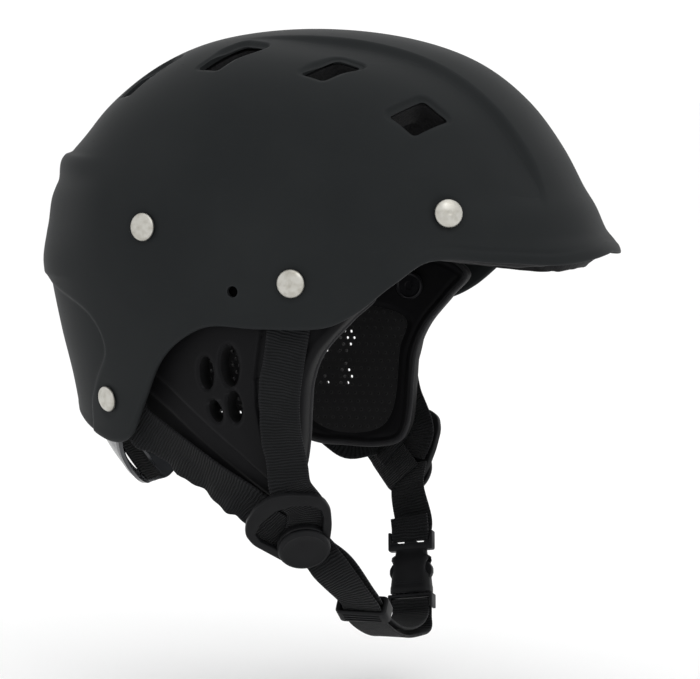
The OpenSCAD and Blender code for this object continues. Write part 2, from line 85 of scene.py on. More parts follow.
# Angle from the front, depth below the top
SHELL_EDGE = [
    (0, 108), (25, 112), (42, 110), (57, 109), (64, 120), (71, 134), (77, 141), (88, 142), (97, 141.5),
    (104, 149), (110, 161), (116, 180), (122, 197), (129, 202), (142, 198), (160, 191), (180, 187)]
LINER_EDGE = [
    (0, 105.8), (13, 108.6), (26, 113), (42, 111), (51, 108.5), (60, 103), (90, 103), (120, 103),
    (128, 122), (140, 150), (180, 156)]
# Angle, depth, long side and its slope, short side and its slope
VENTS = [(-48.5, 41, 22, 26, 16, -50), (-71, 18, 22.5, 40, 13.5, -29), (-111, 12, 30, 72, 13.5, -6),
         (-149, 23, 30, 95, 12.5, 14)]
# Angle and depth on the right side
RIVETS = [(-50, 86.5), (-111, 94.5), (-82.3, 119.5), (-129, 180)]
REAR_RIVET = RIVETS[3]
# X and Z of the accessory hole
HOLE = (-5.5, -92)


def along(rows, column, q):
    """Smooth curve through a column of rows, against their first column."""
    table = np.asarray(rows, float)
    x, y = table[:, 0], table[:, column]
    q = np.asarray(q, float)
    slopes = np.empty(len(x))
    slopes[1:-1] = (y[2:] - y[:-2]) / (x[2:] - x[:-2])
    slopes[0] = (y[1] - y[0]) / (x[1] - x[0])
    slopes[-1] = (y[-1] - y[-2]) / (x[-1] - x[-2])
    i = np.clip(np.searchsorted(x, q, side="right") - 1, 0, len(x) - 2)
    h = x[i + 1] - x[i]
    u = (q - x[i]) / h
    return (y[i] * (1 + 2 * u) * (1 - u) ** 2 + slopes[i] * h * u * (1 - u) ** 2
            + y[i + 1] * u * u * (3 - 2 * u) - slopes[i + 1] * h * u * u * (1 - u))


SECTION_ROOTS = [(math.sqrt(s[0]), *s[1:]) for s in SECTIONS]


def reach(column, depth):
    return along(SECTION_ROOTS, column, np.sqrt(np.maximum(depth, 0)))


def edge_depth(rows, angle):
    turned = np.abs((np.asarray(angle, float) + 180) % 360 - 180)
    return along(rows, 1, turned)


def plan_point(angle, depth, shrink=0.0):
    a = np.radians(angle)
    depth = np.asarray(depth, float) + 0 * a
    cos, sin = np.cos(a), np.sin(a)
    front = np.where(cos >= 0, reach(1, depth), reach(2, depth)) - shrink
    side = reach(3, depth) - shrink
    x = front * np.sign(cos) * np.abs(cos) ** SQUARENESS
    y = side * np.sign(sin) * np.abs(sin) ** SQUARENESS
    return np.stack([x, y, SHELL_TOP - depth], axis=-1)


def shell_normal(angle, depth):
    depth = np.asarray(depth)
    down = plan_point(angle, depth + 0.3) - plan_point(angle, np.maximum(depth - 0.3, 0.05))
    round_ = plan_point(np.asarray(angle) + 0.6, depth) - plan_point(np.asarray(angle) - 0.6, depth)
    n = np.cross(down, round_)
    return n / np.linalg.norm(n, axis=-1, keepdims=True)


def shell_point(angle, depth, inset=0.0):
    inset = np.asarray(inset, float)
    return plan_point(angle, depth) - inset[..., None] * shell_normal(angle, depth)


def smooth(low, high, v):
    u = np.clip((np.asarray(v, float) - low) / (high - low), 0, 1)
    return u * u * (3 - 2 * u)


def bump(centre, width, v):
    return np.exp(-((np.asarray(v, float) - centre) / width) ** 2)


def rounded(points, r, steps=4):
    out = []
    for i, p in enumerate(points):
        p = np.array(p, float)
        a = np.array(points[i - 1], float) - p
        b = np.array(points[(i + 1) % len(points)], float) - p
        a, b = a / np.linalg.norm(a), b / np.linalg.norm(b)
        for k in range(steps + 1):
            u = k / steps
            out.append(p + r * (a * (1 - u) ** 2 + b * u * u))
    return np.array(out)


def smooth_outline(points, steps=8):
    n = len(points)
    rows = [(i, *points[(i + n) % n]) for i in range(-1, n + 2)]
    q = np.arange(n * steps) / steps
    return np.stack([along(rows, 1, q), along(rows, 2, q)], axis=-1)


def outline_distance(points, outline):
    """Signed distance to a closed outline, positive outside."""
    p = np.asarray(points, float)
    a = np.asarray(outline, float)
    b = np.roll(a, -1, axis=0)
    best = np.full(p.shape[:-1], 1e9)
    inside = np.zeros(p.shape[:-1], bool)
    for s, e in zip(a, b):
        d = e - s
        t = np.clip(((p - s) @ d) / max(d @ d, 1e-9), 0, 1)
        best = np.minimum(best, np.linalg.norm(p - s - t[..., None] * d, axis=-1))
        crosses = (s[1] > p[..., 1]) != (e[1] > p[..., 1])
        x = s[0] + (p[..., 1] - s[1]) / (d[1] if d[1] else 1e-9) * d[0]
        inside ^= crosses & (p[..., 0] < x)
    return np.where(inside, -best, best)


def line_distance(points, line):
    """Distance to an open polyline, signed by side: positive on its left."""
    p = np.asarray(points, float)
    best = np.full(p.shape[:-1], 1e9)
    signed = best.copy()
    for s, e in zip(np.asarray(line[:-1], float), np.asarray(line[1:], float)):
        d = e - s
        t = np.clip(((p - s) @ d) / (d @ d), 0, 1)
        gap = p - s - t[..., None] * d
        dist = np.linalg.norm(gap, axis=-1)
        side = np.sign(d[0] * (p[..., 1] - s[1]) - d[1] * (p[..., 0] - s[0]))
        nearer = dist < best
        best = np.where(nearer, dist, best)
        signed = np.where(nearer, side * dist, signed)
    return signed


# ---------- mesh making ----------
def mesh_object(name, points, faces, sharp):
    mesh = bpy.data.meshes.new(name)
    mesh.from_pydata([tuple(p) for p in np.asarray(points, float) * MM], [], faces)
    mesh.validate()
    mesh.update()
    obj = bpy.data.objects.new(name, mesh)
    bpy.context.scene.collection.objects.link(obj)
    shade(obj, sharp)
    return fix_normals(obj)


def shade(obj, sharp):
    mesh = obj.data
    mesh.shade_smooth()
    mesh.set_sharp_from_angle(angle=math.radians(sharp))


def apply_modifiers(obj):
    graph = bpy.context.evaluated_depsgraph_get()
    mesh = bpy.data.meshes.new_from_object(obj.evaluated_get(graph))
    obj.modifiers.clear()
    obj.data = mesh
    return obj


def cut(obj, cutters, sharp):
    for cutter in cutters:
        modifier = obj.modifiers.new("cut", "BOOLEAN")
        modifier.operation = "DIFFERENCE"
        modifier.solver = "MANIFOLD"
        modifier.object = cutter
    bpy.context.view_layer.update()
    apply_modifiers(obj)
    for cutter in cutters:
        bpy.data.objects.remove(cutter)
    shade(obj, sharp)
    return obj


def join(name, objects):
    target = objects[0]
    with bpy.context.temp_override(active_object=target, object=target, selected_objects=objects,
                                   selected_editable_objects=objects):
        bpy.ops.object.join()
    target.name = name
    target.data.name = name
    return target


def strip_faces(rings, points_per_ring, closed_rings=False):
    """Quads between consecutive rings of the same length."""
    faces = []
    count = rings if closed_rings else rings - 1
    for i in range(count):
        a, b = i * points_per_ring, ((i + 1) % rings) * points_per_ring
        for k in range(points_per_ring):
            k2 = (k + 1) % points_per_ring
            faces.append((a + k, a + k2, b + k2, b + k))
    return faces


def ring_solid(name, rings, sharp=40):
    """Closed solid through rings of equal length, fanned shut at both ends."""
    rings = [np.asarray(r, float) for r in rings]
    n = len(rings[0])
    points = np.concatenate(rings + [rings[0].mean(0)[None], rings[-1].mean(0)[None]])
    faces = strip_faces(len(rings), n)
    first, last = len(rings) * n, len(rings) * n + 1
    faces += [(first, (k + 1) % n, k) for k in range(n)]
    base = (len(rings) - 1) * n
    faces += [(last, base + k, base + (k + 1) % n) for k in range(n)]
    return mesh_object(name, points, faces, sharp)


def fix_normals(obj, weld=0.0):
    """Turns all faces outward, after welding vertices closer than this when it is given."""
    bm = bmesh.new()
    bm.from_mesh(obj.data)
    if weld:
        bmesh.ops.remove_doubles(bm, verts=bm.verts, dist=weld * MM)
    bmesh.ops.recalc_face_normals(bm, faces=bm.faces)
    bm.to_mesh(obj.data)
    bm.free()
    return obj


def circle(radius, height, steps):
    turn = np.linspace(0, 2 * math.pi, steps, endpoint=False)
    return np.stack([radius * np.cos(turn), radius * np.sin(turn), np.full(steps, height)], axis=-1)


def lathe(name, profile, steps, sharp=40):
    """Solid of revolution about Z through (radius, height) points, the first and last on the axis."""
    return ring_solid(name, [circle(r, h, steps) for r, h in profile if r > 1e-6], sharp)


def plate(name, outline, low, high, edge, hole, steps):
    """Flat plate between two heights with rounded edges, and a hole in it when one is given."""
    curve = bpy.data.curves.new(name, "CURVE")
    curve.dimensions = "2D"
    curve.fill_mode = "BOTH"
    curve.extrude = ((high - low) / 2 - edge) * MM
    curve.bevel_depth = edge * MM
    curve.bevel_resolution = steps
    curve.offset = -edge * MM
    for loop in [outline] + ([] if hole is None else [hole]):
        spline = curve.splines.new("POLY")
        spline.points.add(len(loop) - 1)
        for point, (x, y) in zip(spline.points, loop):
            point.co = (x * MM, y * MM, 0, 1)
        spline.use_cyclic_u = True
    holder = bpy.data.objects.new(name, curve)
    bpy.context.scene.collection.objects.link(holder)
    bpy.context.view_layer.update()
    graph = bpy.context.evaluated_depsgraph_get()
    mesh = bpy.data.meshes.new_from_object(holder.evaluated_get(graph))
    bpy.data.objects.remove(holder)
    mesh.transform(Matrix.Translation((0, 0, (low + high) / 2 * MM)))
    obj = bpy.data.objects.new(name, mesh)
    bpy.context.scene.collection.objects.link(obj)
    fix_normals(obj, weld=0.01)
    shade(obj, 35)
    return obj


def millimetres(x, y, z):
    return Matrix.Translation(Vector((x, y, z)) * MM)


def mirror(side):
    """Carries what is made for the right over to a side."""
    return Matrix.Diagonal((1, -side, 1, 1))


def moved(obj, matrix):
    obj.data.transform(matrix)
    if matrix.to_3x3().determinant() < 0:
        obj.data.flip_normals()
    return obj


def on_shell(angle, depth, inset=0.0):
    """Matrix that stands a piece on the shell with its Z along the outward normal."""
    p = shell_point(angle, depth, inset)
    n = shell_normal(angle, depth)
    tilt = math.acos(n[2])
    turn = math.atan2(n[1], n[0])
    return millimetres(*p) @ Matrix.Rotation(turn, 4, "Z") @ Matrix.Rotation(tilt, 4, "Y")


# ---------- materials ----------
class Shader:
    """Short way to write a node material."""

    def __init__(self, name):
        self.material = bpy.data.materials.new(name)
        self.material.use_nodes = True
        self.tree = self.material.node_tree
        self.tree.nodes.clear()
        self.out = self.tree.nodes.new("ShaderNodeOutputMaterial")
        self.body = self.tree.nodes.new("ShaderNodeBsdfPrincipled")
        self.tree.links.new(self.body.outputs[0], self.out.inputs[0])
        self.coords = self.tree.nodes.new("ShaderNodeTexCoord")

    def set(self, socket, value):
        if isinstance(value, bpy.types.NodeSocket):
            self.tree.links.new(value, socket)
        else:
            socket.default_value = value

    def node(self, kind, output=0, inputs=(), **settings):
        node = self.tree.nodes.new("ShaderNode" + kind)
        for key, value in settings.items():
            setattr(node, key, value)
        for key, value in dict(inputs).items():
            self.set(node.inputs[key], value)
        return node.outputs[output]

    def place(self, scale=(1, 1, 1)):
        """Object coordinates in millimetres."""
        source = self.coords.outputs["Object"]
        return self.node("Mapping", inputs={"Vector": source, "Scale": tuple(s / MM for s in scale)})

    def noise(self, size, detail=3, stretch=(1, 1, 1), rough=0.5):
        """Noise with features of about this size in millimetres."""
        where = self.place(stretch)
        return self.node("TexNoise", inputs={"Vector": where, "Scale": 1 / size, "Detail": detail,
                                             "Roughness": rough})

    def math(self, operation, a, b=0.0):
        return self.node("Math", inputs={0: a, 1: b}, operation=operation)

    def ramp(self, value, low, high, start=0.0, end=1.0):
        return self.node("MapRange", inputs={"Value": value, "From Min": low, "From Max": high,
                                             "To Min": start, "To Max": end})

    def mix(self, factor, a, b):
        a, b = [(*c, 1) if isinstance(c, tuple) else c for c in (a, b)]
        return self.node("Mix", output=2, data_type="RGBA", inputs={0: factor, 6: a, 7: b})

    def edges(self, low, high):
        """1 on convex edges, 0 elsewhere."""
        return self.ramp(self.node("NewGeometry", output=7), low, high)

    def bump(self, height, strength, distance, normal=None):
        inputs = {"Height": height, "Strength": strength, "Distance": distance * MM}
        if normal is not None:
            inputs["Normal"] = normal
        return self.node("Bump", inputs=inputs)

    def finish(self, **inputs):
        for key, value in inputs.items():
            self.set(self.body.inputs[key.replace("_", " ")], value)
        return self.material


def shell_material():
    s = Shader("shell_abs")
    mottle = s.noise(60, 4)
    grain = s.noise(0.55, 3, rough=0.6)
    scuffs = s.ramp(s.noise(5, 5, (1, 1, 9)), 0.62, 0.74)
    base = s.mix(s.ramp(mottle, 0.35, 0.7), (0.0138, 0.0153, 0.0160), (0.0170, 0.0186, 0.0192))
    # Painted highlight: the shell's convex edges are lightened to stand in for the sheen they catch.
    base = s.mix(s.math("MULTIPLY", s.edges(0.515, 0.6), 0.5), base, (0.040, 0.041, 0.044))
    base = s.mix(s.math("MULTIPLY", scuffs, 0.12), base, (0.04, 0.041, 0.044))
    rough = s.math("ADD", s.ramp(mottle, 0.3, 0.7, 0.48, 0.56), s.math("MULTIPLY", scuffs, 0.1))
    normal = s.bump(grain, 0.22, 0.06, s.bump(s.noise(14, 2), 0.12, 0.25))
    return s.finish(Base_Color=base, Roughness=rough, Normal=normal, Specular_IOR_Level=0.045)


def foam_material():
    s = Shader("liner_beads")
    beads = s.node("TexVoronoi", inputs={"Vector": s.place(), "Scale": 0.36, "Randomness": 0.9},
                   feature="DISTANCE_TO_EDGE")
    tone = s.node("TexVoronoi", output=1, inputs={"Vector": s.place(), "Scale": 0.36, "Randomness": 0.9})
    shade_ = s.node("SeparateColor", inputs={0: tone})
    base = s.mix(shade_, (0.006, 0.006, 0.0065), (0.011, 0.011, 0.012))
    normal = s.bump(s.ramp(beads, 0.0, 0.2), 0.45, 0.25, s.bump(s.noise(0.6), 0.3, 0.06))
    return s.finish(Base_Color=base, Roughness=0.86, Normal=normal, Specular_IOR_Level=0.25)


def knit(s, pitch):
    """Height of a small knit, the same from every side."""
    parts = s.node("SeparateXYZ", inputs={0: s.place()})
    sockets = parts.node.outputs
    waves = [s.math("SINE", s.math("MULTIPLY", sockets[k], 2 * math.pi / pitch)) for k in range(3)]
    pair = s.math("MULTIPLY", waves[0], waves[2])
    return s.math("ADD", pair, s.math("MULTIPLY", waves[1], s.math("ADD", waves[0], waves[2])))


def knit_material(name, pitch, low, high, sheen):
    s = Shader(name)
    stitch = knit(s, pitch)
    fuzz = s.noise(0.3, 3)
    mottle = s.noise(22, 4)
    base = s.mix(s.ramp(mottle, 0.35, 0.68), low, high)
    base = s.mix(s.ramp(stitch, -1.5, 1.5, 0.0, 0.35), base, tuple(0.45 * v for v in low))
    normal = s.bump(stitch, 0.35, 0.12, s.bump(fuzz, 0.35, 0.08))
    return s.finish(Base_Color=base, Roughness=0.88, Normal=normal, Sheen_Weight=0.4 * sheen,
                    Sheen_Roughness=0.45, Specular_IOR_Level=0.15)


def ear_pad_material():
    s = Shader("ear_pad_skin")
    grain = s.node("TexVoronoi", inputs={"Vector": s.place(), "Scale": 1.5, "Randomness": 1.0},
                   feature="DISTANCE_TO_EDGE")
    mottle = s.noise(26, 4)
    base = s.mix(s.ramp(mottle, 0.32, 0.7), (0.0034, 0.0034, 0.0039), (0.0050, 0.0050, 0.0057))
    base = s.mix(s.math("MULTIPLY", s.edges(0.51, 0.57), 0.45), base, (0.02, 0.02, 0.022))
    rough = s.ramp(mottle, 0.3, 0.7, 0.6, 0.72)
    normal = s.bump(s.ramp(grain, 0.0, 0.25), 0.22, 0.09, s.bump(s.noise(0.35), 0.2, 0.04))
    return s.finish(Base_Color=base, Roughness=rough, Normal=normal, Sheen_Weight=0.03, Sheen_Roughness=0.4,
                    Specular_IOR_Level=0.09)


def lining_material():
    """Knit with rows of small punched holes."""
    s = Shader("perforated_lining")
    pitch = 4.2
    parts = s.node("SeparateXYZ", inputs={0: s.place()}).node.outputs
    row = s.math("FLOOR", s.math("DIVIDE", parts[2], pitch))
    shift = s.math("MULTIPLY", s.math("MODULO", s.math("ABSOLUTE", row), 2.0), pitch / 2)
    across = s.math("PINGPONG", s.math("ADD", parts[0], shift), pitch / 2)
    up = s.math("SUBTRACT", s.math("MODULO", s.math("ADD", parts[2], 1000 * pitch), pitch), pitch / 2)
    far = s.math("SQRT", s.math("ADD", s.math("POWER", across, 2.0), s.math("POWER", up, 2.0)))
    hole = s.ramp(far, 0.75, 0.55)
    ring = s.math("SUBTRACT", s.ramp(far, 1.25, 0.95), hole)
    base = s.mix(s.ramp(s.noise(20, 4), 0.35, 0.7), (0.0030, 0.0029, 0.0034), (0.0044, 0.0043, 0.0049))
    base = s.mix(s.math("MULTIPLY", ring, 0.3), base, (0.016, 0.0163, 0.0175))
    base = s.mix(hole, base, (0.0015, 0.0015, 0.0015))
    normal = s.bump(s.math("SUBTRACT", 1.0, hole), 0.8, 0.4, s.bump(s.noise(0.4), 0.35, 0.08))
    return s.finish(Base_Color=base, Roughness=0.85, Normal=normal, Sheen_Weight=0.15,
                    Specular_IOR_Level=0.25)


def webbing_material():
    """Webbing with fine ribs across it. U runs across and V along, both in millimetres."""
    s = Shader("ribbed_webbing")
    parts = s.node("SeparateXYZ", inputs={0: s.coords.outputs["UV"]}).node.outputs
    across, length = parts[0], parts[1]
    drift = s.ramp(s.noise(9, 3), 0.3, 0.7, -0.55, 0.55)
    rib = s.math("SINE", s.math("MULTIPLY", s.math("ADD", length, drift), 2 * math.pi / 1.45))
    slant = s.math("ADD", across, s.math("MULTIPLY", s.math("PINGPONG", length, 0.725), 0.8))
    pick = s.math("SINE", s.math("MULTIPLY", slant, 2 * math.pi / 0.9))
    edge = s.ramp(s.math("ABSOLUTE", across), WEB_W / 2 - 1.6, WEB_W / 2 - 1.1)
    weave = s.math("ADD", s.math("MULTIPLY", rib, 0.75), s.math("MULTIPLY", pick, 0.25))
    mottle = s.noise(18, 4)
    base = s.mix(s.ramp(mottle, 0.35, 0.68), (0.0094, 0.0101, 0.0110), (0.0132, 0.0139, 0.0149))
    base = s.mix(s.ramp(weave, -1.0, 0.5, 0.85, 0.0), base, (0.0014, 0.0014, 0.0016))
    base = s.mix(s.math("MULTIPLY", edge, 0.25), base, (0.018, 0.018, 0.020))
    rough = s.ramp(mottle, 0.3, 0.7, 0.6, 0.72)
    normal = s.bump(weave, 0.9, 0.45, s.bump(s.noise(0.22, 3), 0.3, 0.05))
    return s.finish(Base_Color=base, Roughness=rough, Normal=normal, Sheen_Weight=0.04, Sheen_Roughness=0.35,
                    Specular_IOR_Level=0.09)


def plastic_material(name, tone, rough):
    s = Shader(name)
    mottle = s.noise(9, 4)
    base = s.mix(s.ramp(mottle, 0.35, 0.7), tuple(0.85 * t for t in tone), tuple(1.15 * t for t in tone))
    base = s.mix(s.math("MULTIPLY", s.edges(0.52, 0.6), 0.5), base, tuple(3.2 * t for t in tone))
    normal = s.bump(s.noise(0.28, 3), 0.16, 0.04)
    return s.finish(Base_Color=base, Roughness=s.ramp(mottle, 0.3, 0.7, rough - 0.05, rough + 0.06),
                    Normal=normal, Specular_IOR_Level=0.11)


def nickel_material():
    s = Shader("satin_nickel")
    tarnish = s.noise(3.2, 4)
    fine = s.noise(0.3, 3)
    base = s.mix(s.ramp(tarnish, 0.4, 0.72), (0.52, 0.51, 0.47), (0.40, 0.385, 0.34))
    rough = s.math("ADD", s.ramp(tarnish, 0.3, 0.7, 0.30, 0.42), s.math("MULTIPLY", fine, 0.06))
    return s.finish(Base_Color=base, Metallic=1.0, Roughness=rough, Normal=s.bump(fine, 0.12, 0.03))


def brace_material():
    s = Shader("smoky_brace")
    haze = s.noise(14, 4)
    base = s.mix(s.ramp(haze, 0.3, 0.7), (0.030, 0.032, 0.036), (0.055, 0.058, 0.064))
    return s.finish(Base_Color=base, Roughness=s.ramp(haze, 0.3, 0.7, 0.16, 0.28), Transmission_Weight=0.12,
                    IOR=1.46, Normal=s.bump(s.noise(0.8, 2), 0.1, 0.05))


def thread_material():
    s = Shader("bonded_thread")
    twist = s.noise(0.5, 2, (1, 1, 3))
    base = s.mix(twist, (0.012, 0.012, 0.013), (0.028, 0.028, 0.031))
    return s.finish(Base_Color=base, Roughness=0.55, Normal=s.bump(twist, 0.4, 0.08), Sheen_Weight=0.2)


MATERIALS = {
    "shell": shell_material(), "liner_foam": foam_material(),
    "fit_pad": knit_material("fit_pad_knit", 1.3, (0.008, 0.008, 0.009), (0.013, 0.013, 0.0145), 0.1),
    "ear_pad": ear_pad_material(), "lining": lining_material(),
    "snap": plastic_material("snap_black", (0.007, 0.007, 0.008), 0.3),
    "nickel": nickel_material(), "webbing": webbing_material(),
    "buckle_plastic": plastic_material("moulded_black", (0.0064, 0.0066, 0.0073), 0.46),
    "brace": brace_material()}
THREAD = thread_material()
# The braid is lighter than the pads as a painted highlight, for the light that the pads' front edges catch.
PIPING = knit_material("piping_braid", 1.1, (0.020, 0.020, 0.0215), (0.030, 0.030, 0.032), 0.2)


def adopt(obj, body, slot, *nodes, material=None):
    """Gives a finished piece its material and body, and hides the CAD nodes that it stands in for."""
    obj.data.materials.clear()
    obj.data.materials.append(material or MATERIALS[slot])
    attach(obj, body)
    if nodes:
        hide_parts(*nodes)
    return obj


# ---------- hard shell ----------
BAND_HALF = 33.5
# Boundary of the recessed neck panel: height, and the X that it reaches forward to
PANEL = [(-260, -97), (-153, -95), (-139, -89), (-124, -81), (-108, -87), (-93, -99)]
PANEL_TOP = -90


def vent_outline(v):
    long = v[2] / 2 * np.array([math.cos(math.radians(v[3])), math.sin(math.radians(v[3]))])
    short = v[4] / 2 * np.array([math.cos(math.radians(v[5])), math.sin(math.radians(v[5]))])
    return rounded([long + short, -long + short, -long - short, long - short], 2.6)


def vent_matrix(v, side):
    return mirror(side) @ (on_shell(v[0], v[1]) @ Matrix.Rotation(math.pi / 2, 4, "Z"))


def local_xy(points, matrix):
    inverse = np.array(matrix.inverted())
    p = np.asarray(points) * MM
    return (p @ inverse[:3, :3].T + inverse[:3, 3]) / MM


def vent_sink(points):
    """How deep the shell's surface sinks round its vents."""
    depth = np.zeros(points.shape[:-1])
    for v in VENTS:
        for side in (RIGHT, LEFT):
            q = local_xy(points, vent_matrix(v, side))
            near = (np.abs(q[..., 2]) < 16) & (np.abs(q[..., 0]) < 34) & (np.abs(q[..., 1]) < 34)
            gap = outline_distance(q[near][:, :2], vent_outline(v))
            crownward = 0.25 + 0.75 * smooth(-5, 6, q[near][:, 1])
            width = 1.2 + 3.0 * crownward
            slope = crownward * 2.0 * (1 - smooth(0.45, 1.0, gap / width))
            depth[near] += slope + 0.3 * (1 - smooth(0, 1.2, gap))
    return depth


def panel_recess(points):
    """How deep the neck panel lies below the shell round it."""
    x, z = points[..., 0], points[..., 2]
    front = along(PANEL, 1, np.clip(z, -259, -93))
    top = PANEL_TOP - 0.3 * (x + 137)
    sides = np.stack([(front - x) * 0.8, top - z])
    inner = -4 * np.log(np.exp(-sides / 4).sum(0))
    return 1.7 * smooth(-1.0, 1.4, inner), inner


def bumper(points):
    """Rear bumper: a soft ledge above, and a band that stands proud over the neck panel."""
    x, z = points[..., 0], points[..., 2]
    rear = smooth(-78, -120, x)
    ledge = 1.9 * smooth(-28.6, -31.8, z) * smooth(-66, -36, z) - 1.2 * bump(-19, 10, z)
    drop = 4.4 * smooth(-33, -43, z) * smooth(-92, -42, z)
    lower = 1.3 * smooth(-70, -85, z) * smooth(PANEL_TOP - 1.0, PANEL_TOP + 0.8, z)
    return rear * (ledge - drop) + smooth(-96, -128, x) * lower


def crown_band(points):
    """Sides of the crown drop away from a raised band that fades at the brow and behind."""
    x, y, z = points[..., 0], np.abs(points[..., 1]), points[..., 2]
    fade = smooth(-34, 30, x) * smooth(-56, -30, z)
    half = BAND_HALF + 0.011 * np.maximum(-24 - z, 0) ** 2
    step = smooth(half - 2.4, half + 2.4, y) * (1 - smooth(half + 6, half + 44, y))
    return -3.2 * fade * step


def shell_relief(angle, depth, edge, points):
    above = edge - depth
    from_front = np.abs((angle + 180) % 360 - 180)
    front = 1 - smooth(50, 66, from_front)
    lip = front * (0.4 * smooth(5.6, 4.4, above) - 0.45 * bump(6.0, 0.9, above))
    lip = lip * (0.2 + 0.8 * smooth(10, 34, from_front))
    brow = 2.3 * bump(-46, 11, points[..., 2]) * smooth(66, 100, points[..., 0])
    rim = (1 - front) * 0.2 * smooth(4.4, 3.4, above)
    recess, inner = panel_recess(points)
    groove = 0.7 * bump(0.0, 0.9, inner) * smooth(-70, -84, points[..., 0])
    seats = np.zeros(points.shape[:-1])
    for r in RIVETS:
        for side in (RIGHT, LEFT):
            centre = shell_point(*r) * np.array([1, -side, 1])
            seats += 0.45 * (1 - smooth(7.4, 10.0, np.linalg.norm(points - centre, axis=-1)))
    raised = lip - brow + rim + crown_band(points) + bumper(points)
    return raised - recess - groove - seats - vent_sink(points)


def vent_cutters(low, high):
    cutters = []
    for v in VENTS:
        for side in (RIGHT, LEFT):
            outline = vent_outline(v)
            rings = [np.column_stack([outline, np.full(len(outline), h)]) for h in (low, high)]
            cutters.append(moved(ring_solid("cutter", rings), vent_matrix(v, side)))
    return cutters


def round_cutter(radius, length, matrix):
    rings = [circle(radius, h, 40) for h in (-length / 2, length / 2)]
    return moved(ring_solid("cutter", rings), matrix)


def flat_relief(angle, depth, edge, points):
    return np.zeros(len(angle))


def dome(name, out, wall, edge_rows, columns, rows, rows_in, relief=flat_relief, power=1.75,
         edge_steps=5, wave=0.0, taper=None):
    """Closed dome with a rounded rim, between an inset and the wall below it."""
    angle = np.linspace(0, 360, columns, endpoint=False)
    edge = edge_depth(edge_rows, angle)
    edge = edge + wave * (np.sin(np.radians(angle * 17)) + 0.7 * np.sin(np.radians(angle * 41 + 60)))
    rings = []

    def ring(share, inset, lift=flat_relief):
        depth = edge * share
        points = shell_point(angle, depth)
        normal = shell_normal(angle, depth)
        rise = lift(angle, depth, edge, points)
        return points + (rise - inset)[:, None] * normal

    r = wall / 2
    start = 1 - r / edge.mean()
    thin = np.zeros(columns) if taper is None else taper(angle)
    for j in range(1, rows + 1):
        rings.append(ring(start * (j / rows) ** power, out, relief))
    low_rise = relief(angle, edge * start, edge, shell_point(angle, edge * start))
    for k in range(1, edge_steps + 1):
        t = math.pi * k / (edge_steps + 1)
        share = start + (1 - start) * math.sin(t)
        inset = out + (r - r * math.cos(t)) * (1 - thin)
        rise = low_rise * (1 - k / (edge_steps + 1))
        rings.append(ring(share, inset) + rise[:, None] * shell_normal(angle, edge * share))
    for j in range(rows_in, 0, -1):
        share = (j / rows_in) ** power
        rings.append(ring(start * share, out + wall * (1 - thin * smooth(0.84, 1.0, share))))
    return ring_solid(name, rings, 50)


def brim_taper(angle):
    """The wall thins towards the edge of the brim."""
    return 0.6 * (1 - smooth(44, 62, np.abs((angle + 180) % 360 - 180)))


def hard_shell():
    shell = dome("helmet_shell", 0.0, SHELL_WALL, SHELL_EDGE, 600, 220, 40, shell_relief, taper=brim_taper)
    holes = []
    for side in (RIGHT, LEFT):
        where = millimetres(HOLE[0], side * 105, HOLE[1]) @ Matrix.Rotation(math.pi / 2, 4, "X")
        holes.append(round_cutter(2.75, 30, where))
    cut(shell, vent_cutters(-9, 14) + holes, sharp=45)
    return adopt(shell, "helmet", "shell", "outer_shell")


def foam_liner():
    liner = dome("foam_liner_moulded", LINER_OUT, LINER_IN - LINER_OUT, LINER_EDGE, 240, 60, 60,
                 power=1.6, edge_steps=7, wave=0.35)
    cut(liner, vent_cutters(-34, 4), sharp=45)
    return adopt(liner, "helmet", "liner_foam", "foam_liner")


# ---------- fit pads, swollen by cloth simulation ----------
CLOTH_VOXEL = 4.0
CLOTH_PRESSURE = 4.0
CLOTH_FRAMES = 20


def swell(obj, most):
    """Voxel remesh, a short pressurised cloth run, a cap on the movement, and one subdivision."""
    remesh = obj.modifiers.new("remesh", "REMESH")
    remesh.mode = "VOXEL"
    remesh.voxel_size = CLOTH_VOXEL * MM
    bpy.context.view_layer.update()
    apply_modifiers(obj)
    start = np.array([v.co for v in obj.data.vertices])
    cloth = obj.modifiers.new("cloth", "CLOTH")
    cloth.settings.use_pressure = True
    cloth.settings.uniform_pressure_force = CLOTH_PRESSURE
    cloth.settings.effector_weights.gravity = 0
    scene = bpy.context.scene
    for step in range(1, CLOTH_FRAMES + 1):
        scene.frame_set(step)
    apply_modifiers(obj)
    scene.frame_set(1)
    end = np.array([v.co for v in obj.data.vertices])
    move = end - start
    length = np.linalg.norm(move, axis=1, keepdims=True)
    capped = start + move * np.minimum(1, most * MM / np.maximum(length, 1e-9))
    obj.data.vertices.foreach_set("co", capped.astype(np.float32).ravel())
    bm = bmesh.new()
    bm.from_mesh(obj.data)
    bmesh.ops.smooth_vert(bm, verts=bm.verts, factor=0.5, use_axis_x=True, use_axis_y=True, use_axis_z=True)
    bm.to_mesh(obj.data)
    bm.free()
    divide = obj.modifiers.new("divide", "SUBSURF")
    divide.levels = divide.render_levels = 1
    apply_modifiers(obj)
    shade(obj, 80)
    return obj


